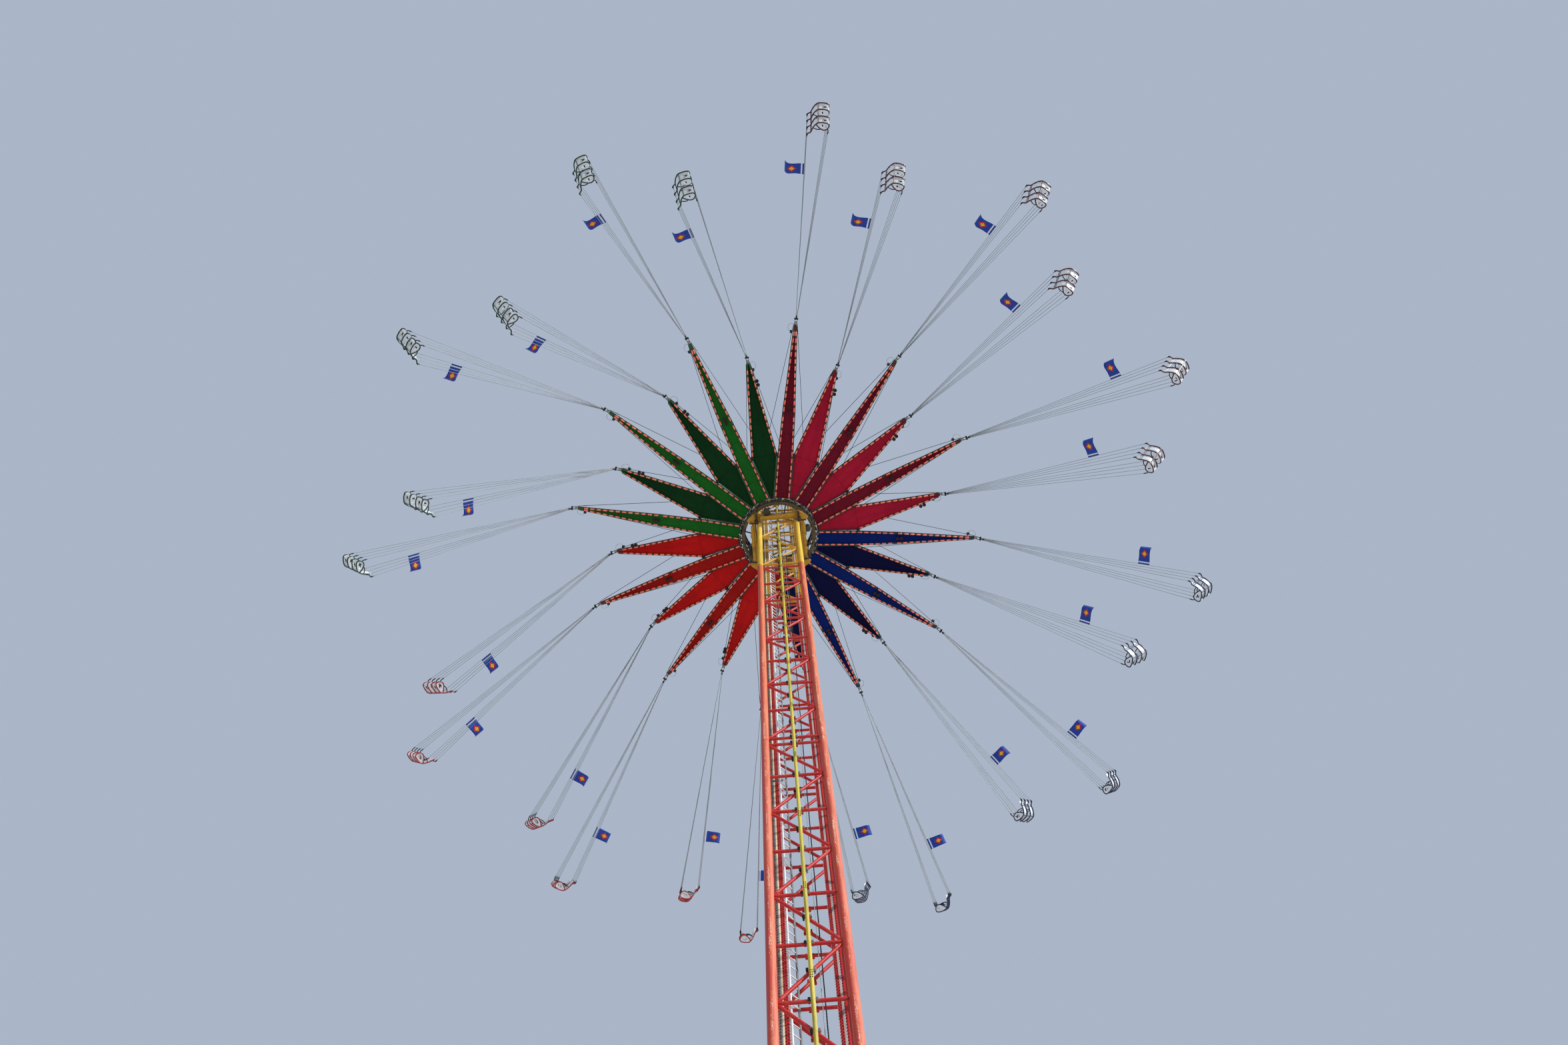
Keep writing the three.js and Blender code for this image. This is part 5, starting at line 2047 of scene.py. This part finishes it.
@dataclass(frozen=True)
class Chair:
    """A double chair on its ropes, modelled hanging from its hinge and facing +Y."""

    reach: float = 9.9  # From the hinge to the chair's middle
    yoke: float = 0.12  # From the hinge to the spreader bar
    # Where the four side frames stand across the chair
    frames: tuple[float, ...] = (-0.57, -0.19, 0.19, 0.57)
    # Where the ropes start along the spreader bar
    tops: tuple[float, ...] = (-0.054, -0.018, 0.018, 0.054)
    # The front rope hooks, forward and up from the middle
    front_hook: Pair = (0.4, 0.13)
    rear_hook: Pair = (-0.33, 0.28)  # The rear rope hooks, in the same way
    # A side frame's tube up to the front of the side panel
    back_line: tuple[Pair, ...] = (
        (-0.33, 0.28), (-0.31, 0.2), (-0.215, 0.165), (-0.185, 0.06), (-0.155, -0.03),
        (-0.09, -0.15), (-0.02, -0.235), (0.06, -0.275), (0.22, -0.275),
    )
    # The rest of the tube, which closes the side panel
    panel_line: tuple[Pair, ...] = (
        (0.22, -0.275), (0.37, -0.26), (0.425, -0.2), (0.415, -0.1), (0.37, -0.02), (0.29, 0.035),
        (0.2, 0.03), (0.1, -0.03), (0.0, -0.13), (-0.05, -0.195),
    )
    # The hook that the rear rope ends in
    horn_line: tuple[Pair, ...] = (
        (-0.3, 0.2), (-0.345, 0.24), (-0.345, 0.28), (-0.31, 0.285),
    )
    # The bracket that the front rope ends in
    bracket_line: tuple[Pair, ...] = (
        (0.36, -0.03), (0.4, 0.02), (0.405, 0.08), (0.4, 0.12),
    )
    # The tubes across the side frames, forward and up from the middle
    cross_tubes: tuple[Pair, ...] = ((-0.205, 0.155), (-0.19, 0.09), (0.02, -0.262))
    # The seat shell's section from the top of its back to its lip
    shell: tuple[Pair, ...] = (
        (-0.235, 0.285), (-0.215, 0.22), (-0.185, 0.12), (-0.155, 0.02), (-0.125, -0.06),
        (-0.08, -0.14), (-0.02, -0.2), (0.06, -0.222), (0.16, -0.228), (0.26, -0.228),
        (0.34, -0.228), (0.4, -0.24),
    )
    tube: float = 0.023  # The side frames' radius
    cross: float = 0.013  # The cross tubes' radius
    rope: float = 0.009  # The ropes' radius
    shell_half: float = 0.166  # Half a seat's width
    seats: Pair = (-0.38, 0.38)  # The middle of each seat across the chair
    # The left half of a lap bar from its pivot, inward from the shell's side
    lap_bar: tuple[Point, ...] = (
        (0.0, -0.13, -0.02), (0.0, 0.0, 0.06), (0.01, 0.15, 0.02), (0.05, 0.2, 0.0),
    )
    lap_half: float = 0.165  # Half a lap bar's width
    lap: float = 0.018  # Its radius
    # The share of the outer rear rope at which the flag starts and ends
    flag_span: Pair = (0.735, 0.785)
    fly: float = 0.78  # The flag's length

    def at(self, x: float, y: float, z: float) -> Vector:
        """A point given from the chair's middle, as measured from the hinge."""
        return Vector((x, y, z - self.reach))

    def bent(self, x: float, line: Sequence[Spot], radius: float, fine: int) -> Piece:
        """A tube bent along a line given forward and up, at its place across the chair."""
        return bent_tube([self.at(x, y, z) for y, z in line], radius, fine)

    def build(self) -> None:
        """Builds one chair for each kind of piece and copies it to the 24 hinges."""
        shells, ropes, flag = self.shells(), self.ropes(), self.flag()
        hinges = [joint for joint in frame["joints"] if joint["child"].startswith("chair_")]
        for index, joint in enumerate(hinges):
            name = joint["child"]
            number = name.split("_")[1]
            quarter = list(Quarter)[index * 4 // len(hinges)]
            tubes = self.tubes(QUARTER_FINISHES[quarter].tube)
            heading = math.atan2(joint["axis"][0], -joint["axis"][1])
            lift = math.radians(joint["range_deg"][0])
            place = shift(Vector(joint["pos_m"]) / METRE) @ turn_z(heading)
            place = place @ Matrix.Rotation(lift, 4, "Y")
            seat(copy_of(shells, f"seats_{number}", place), name, "chair_shell", name)
            seat(copy_of(tubes, f"seat_frame_{number}", place), name, "chair_shell")
            seat(copy_of(ropes, f"seat_ropes_{number}", place), name, "stay_wire")
            cloth = seat(copy_of(flag, f"flag_{number}", place), name, "blue_cover")
            discard([tubes])
        discard([shells, ropes, flag])

    def rope_ends(self, index: int, side: int) -> tuple[Vector, Vector]:
        """Finds a rope's two ends.

        Args:
            index: its place across the chair.
            side: 1 for a front rope and -1 for a rear one.

        Returns:
            Its upper and lower end.
        """
        top = Vector((self.tops[index], side * 0.02, -self.yoke))
        hook = self.front_hook if side > 0 else self.rear_hook
        return top, self.at(self.frames[index], *hook)

    def shells(self) -> Piece:
        """Models the two seats and a side panel with an oval hole at each side frame.

        Returns:
            The seats and panels as one piece.
        """
        seats = [self.one_shell(x) for x in self.seats]
        panels = [self.side_panel(x + (0.012 if x < 0 else -0.012)) for x in self.frames]
        return smoothed(dress(join("shells", [*seats, *panels]), SEAT_WHITE), 40)

    def one_shell(self, middle: float) -> Piece:
        """Models a seat in one shell whose sides curl up and whose back is rounded.

        Args:
            middle: its place across the chair.

        Returns:
            The shell.
        """
        rows, rounded = len(self.shell) - 1, {0: 0.25, 1: 0.08}
        let_go()
        bpy.ops.mesh.primitive_grid_add(x_subdivisions=8, y_subdivisions=rows, size=2)
        piece = bpy.context.object
        for vertex in piece.data.vertices:
            row, across = round((vertex.co.y + 1) / 2 * rows), vertex.co.x
            y, z = self.shell[row]
            before, after = self.shell[max(row - 1, 0)], self.shell[min(row + 1, rows)]
            run, fall = after[0] - before[0], after[1] - before[1]
            curl = 0.03 * abs(across) ** 4 / math.hypot(run, fall)
            half = self.shell_half * (1.0 - rounded.get(row, 0.0))
            vertex.co = self.at(middle + across * half, y - fall * curl, z + run * curl)
        face_out(piece)
        return soften(thicken(piece, 0.01), 0.0025)

    def side_panel(self, x: float) -> Piece:
        """Models a rounded side panel with an oval hole.

        Args:
            x: its place across the chair.

        Returns:
            The panel.
        """
        steps, power = 28, 2.6
        let_go()
        bpy.ops.mesh.primitive_circle_add(vertices=steps, radius=1)
        piece = bpy.context.object
        with at_the_bench(piece):
            bpy.ops.mesh.primitive_circle_add(vertices=steps, radius=0.5)
        for vertex in piece.data.vertices:
            angle = math.atan2(vertex.co.y, vertex.co.x)
            cos, sin = math.cos(angle), math.sin(angle)
            if vertex.co.length > 0.75:
                square = (abs(cos) ** power + abs(sin) ** power) ** (-1 / power)
                y, z = 0.185 + 0.225 * cos * square, -0.13 + 0.128 * sin * square
                z += 0.1 * max(sin, 0.0) * (y - 0.1 - max(-cos, 0.0))
            else:
                y, z = 0.24 + 0.11 * cos, -0.12 + 0.062 * sin + 0.03 * cos
            vertex.co = self.at(x, y, z)
        with at_the_bench(piece):
            bpy.ops.mesh.bridge_edge_loops()
        face_out(piece)
        return soften(thicken(piece, 0.012), 0.0025)

    def tubes(self, finish: Paint) -> Piece:
        """Models the side frames, their cross tubes, the lap bars, brackets, discs and eyes.

        Args:
            finish: the tubes' paint.

        Returns:
            The frames as one piece.
        """
        parts, black = [], []
        for x in self.frames:
            loop = (self.back_line, self.panel_line)
            parts += [self.bent(x, line, self.tube, 2) for line in loop]
            black += [self.bent(x, line, 0.02, 3) for line in (self.horn_line, self.bracket_line)]
            black += [
                eye(0.022, 0.009, shift(self.at(x, *hook)) @ turn_z(QUARTER_TURN))
                for hook in (self.front_hook, self.rear_hook)
            ]
        left, right = self.frames[0], self.frames[-1]
        for y, z in self.cross_tubes:
            parts.append(bar(self.at(left, y, z), self.at(right, y, z), self.cross, 8))
        for middle in self.seats:
            black += self.lap_parts(middle)
        return smoothed(join("tubes", dressed(finish, *parts) + dressed(LAP_BLACK, *black)), 40)

    def lap_parts(self, x: float) -> list[Piece]:
        """Models a seat's lap bar with its pad and strap, and the disc and ties under the seat.

        Args:
            x: the seat's middle across the chair.

        Returns:
            The parts.
        """
        low, high = x - self.lap_half, x + self.lap_half
        path = [self.at(low + inward, y, z) for inward, y, z in self.lap_bar]
        path += [self.at(high - inward, y, z) for inward, y, z in reversed(self.lap_bar)]
        pad = bar(self.at(low + 0.06, 0.2, 0), self.at(high - 0.06, 0.2, 0), 0.026)
        disc = bar(self.at(x, 0.27, -0.26), self.at(x, 0.27, -0.232), 0.032, 16)
        ties = [
            strip(
                self.at(x + s * 0.05, 0.17, -0.243), self.at(x + s * 0.02, 0.33, -0.248),
                0.014, 0.008,
            )
            for s in (-1, 1)
        ]
        return [
            bent_tube(path, self.lap, 2), soften(pad, DULLED), soften(disc, EASED),
            strip(self.at(x, 0.2, -0.01), self.at(x, 0.1, -0.215), 0.045, 0.01, CRISP), *ties,
        ]

    def ropes(self) -> Piece:
        """Models the eight ropes with their sleeves, and the yoke that gathers them.

        Returns:
            The ropes as one piece.
        """
        ropes, sleeves = [], []
        for index in range(len(self.frames)):
            for side in (-1, 1):
                top, foot = self.rope_ends(index, side)
                way = (foot - top).normalized()
                ropes.append(bar(top, foot, self.rope, 6))
                sleeves.append(bar(foot - way * 0.07, foot, 0.013, 8))
                sleeves.append(bar(top, top + way * 0.08, 0.012, 8))
        yoke = [
            soften(bar((0, -0.025, 0), (0, 0.025, 0), 0.045, 16), DULLED),
            bar((0, 0, 0), (0, 0, -self.yoke), 0.022),
            block((0.14, 0.07, 0.06), (0, 0, -self.yoke), 0.01),
        ]
        parts = dressed(ROPE_PALE, *ropes) + dressed(LAP_BLACK, *sleeves) + dressed(HUB_DARK, *yoke)
        return smoothed(join("ropes", parts), 40)

    def flag(self) -> Piece:
        """Models the flag: a sheet that streams behind the rope, rippled and curled at its end.

        Returns:
            The flag, with its UV map along and across it.
        """
        top, foot = self.rope_ends(3, -1)
        high, low = (top.lerp(foot, share) for share in self.flag_span)
        let_go()
        bpy.ops.mesh.primitive_grid_add(x_subdivisions=20, y_subdivisions=8, size=2)
        piece = bpy.context.object
        for vertex in piece.data.vertices:
            out, share = (vertex.co.x + 1) / 2, (vertex.co.y + 1) / 2
            wave = 0.05 * out * math.sin(6.0 * out + 1.4 * share)
            curl = 1.44 * max(out - 0.72, 0.0) ** 2
            droop = 0.05 * out * (share - 0.5)
            back = -self.fly * (out - 0.6 * curl * out)
            vertex.co = high.lerp(low, share) + Vector((wave + curl, back, droop))
        dress(thicken(piece, 0.0016), FlagCloth())
        bpy.ops.object.shade_smooth()
        return piece


@dataclass(frozen=True)
class Studio:
    """The camera at the photograph's place, soft light and a plain pale floor."""

    sensor: float = 36.0  # The camera sensor's width in millimetres
    lens: float = 28.99  # The focal length for it
    place: Point = (0.0, -8.2575, 0.99)  # The camera's place
    pitch: float = 72.70  # How far it looks up, in degrees
    yaw: float = 0.94  # How far it looks to the right of +Y
    roll: float = -5.14  # How far it leans
    # Each sun's name, strength, place and angle
    lights: tuple[tuple[str, float, Point, float], ...] = (
        ("key", 3.3, (30, -20, 36), 0.06), ("fill", 0.3, (-14, -30, -26), 1.2),
    )
    aim: Point = (0, 0, 20)  # The point that the lights face
    sky: Colour = (0.62, 0.72, 0.88, 1.0)  # The world's colour
    glow: float = 0.65  # The world's strength
    floor: float = 600.0  # The floor's width

    def build(self) -> None:
        """Sets up the camera, the lights, the world and the floor."""
        self.set_camera()
        self.set_lights()
        self.set_world()
        self.lay_floor()

    def set_camera(self) -> None:
        """Places the camera with the photograph's lens and direction."""
        pitch, yaw, roll = (math.radians(angle) for angle in (self.pitch, self.yaw, self.roll))
        level = math.cos(pitch)
        ahead = Vector((math.sin(yaw) * level, math.cos(yaw) * level, math.sin(pitch)))
        beside = Vector((math.cos(yaw), -math.sin(yaw), 0))
        above = beside.cross(ahead)
        right = beside * math.cos(roll) + above * math.sin(roll)
        up = above * math.cos(roll) - beside * math.sin(roll)
        data = bpy.data.cameras.new("camera")
        data.sensor_width, data.lens = self.sensor, self.lens
        data.clip_start, data.clip_end = 0.05, 1000.0
        camera = bpy.data.objects.new("camera", data)
        bpy.context.scene.collection.objects.link(camera)
        camera.matrix_world = shift(self.place) @ Matrix((right, up, -ahead)).transposed().to_4x4()
        bpy.context.scene.camera = camera

    def set_lights(self) -> None:
        """Adds a broad key light from the front right and a soft fill from below."""
        for name, strength, place, size in self.lights:
            data = bpy.data.lights.new(name, "SUN")
            data.energy, data.angle = strength, size
            lamp = bpy.data.objects.new(name, data)
            lamp.location = place
            lamp.rotation_mode = "QUATERNION"
            lamp.rotation_quaternion = (Vector(self.aim) - Vector(place)).to_track_quat("-Z", "Y")
            bpy.context.scene.collection.objects.link(lamp)

    def set_world(self) -> None:
        """Gives the world a plain pale colour."""
        world = bpy.data.worlds.new("world")
        world.use_nodes = True
        background = world.node_tree.nodes["Background"]
        background.inputs["Color"].default_value = self.sky
        background.inputs["Strength"].default_value = self.glow
        bpy.context.scene.world = world
        bpy.context.scene.view_settings.view_transform = "Standard"

    def lay_floor(self) -> None:
        """Lays a pale floor just under the base frame."""
        let_go()
        bpy.ops.mesh.primitive_plane_add(size=self.floor, location=(0, 0, -0.002))
        floor = settle(bpy.context.object)
        floor.name = "floor"
        dress(floor, FLOOR_FINISH)


def main() -> None:
    """Builds the studio and the ride's sub-assemblies in order."""
    logging.basicConfig(level=logging.INFO, format="%(message)s")
    let_go()
    for assembly in (Studio(), Tower(), Carriage(), Star(), Chair()):
        assembly.build()
    let_go()


if __name__ == "__main__":
    main()
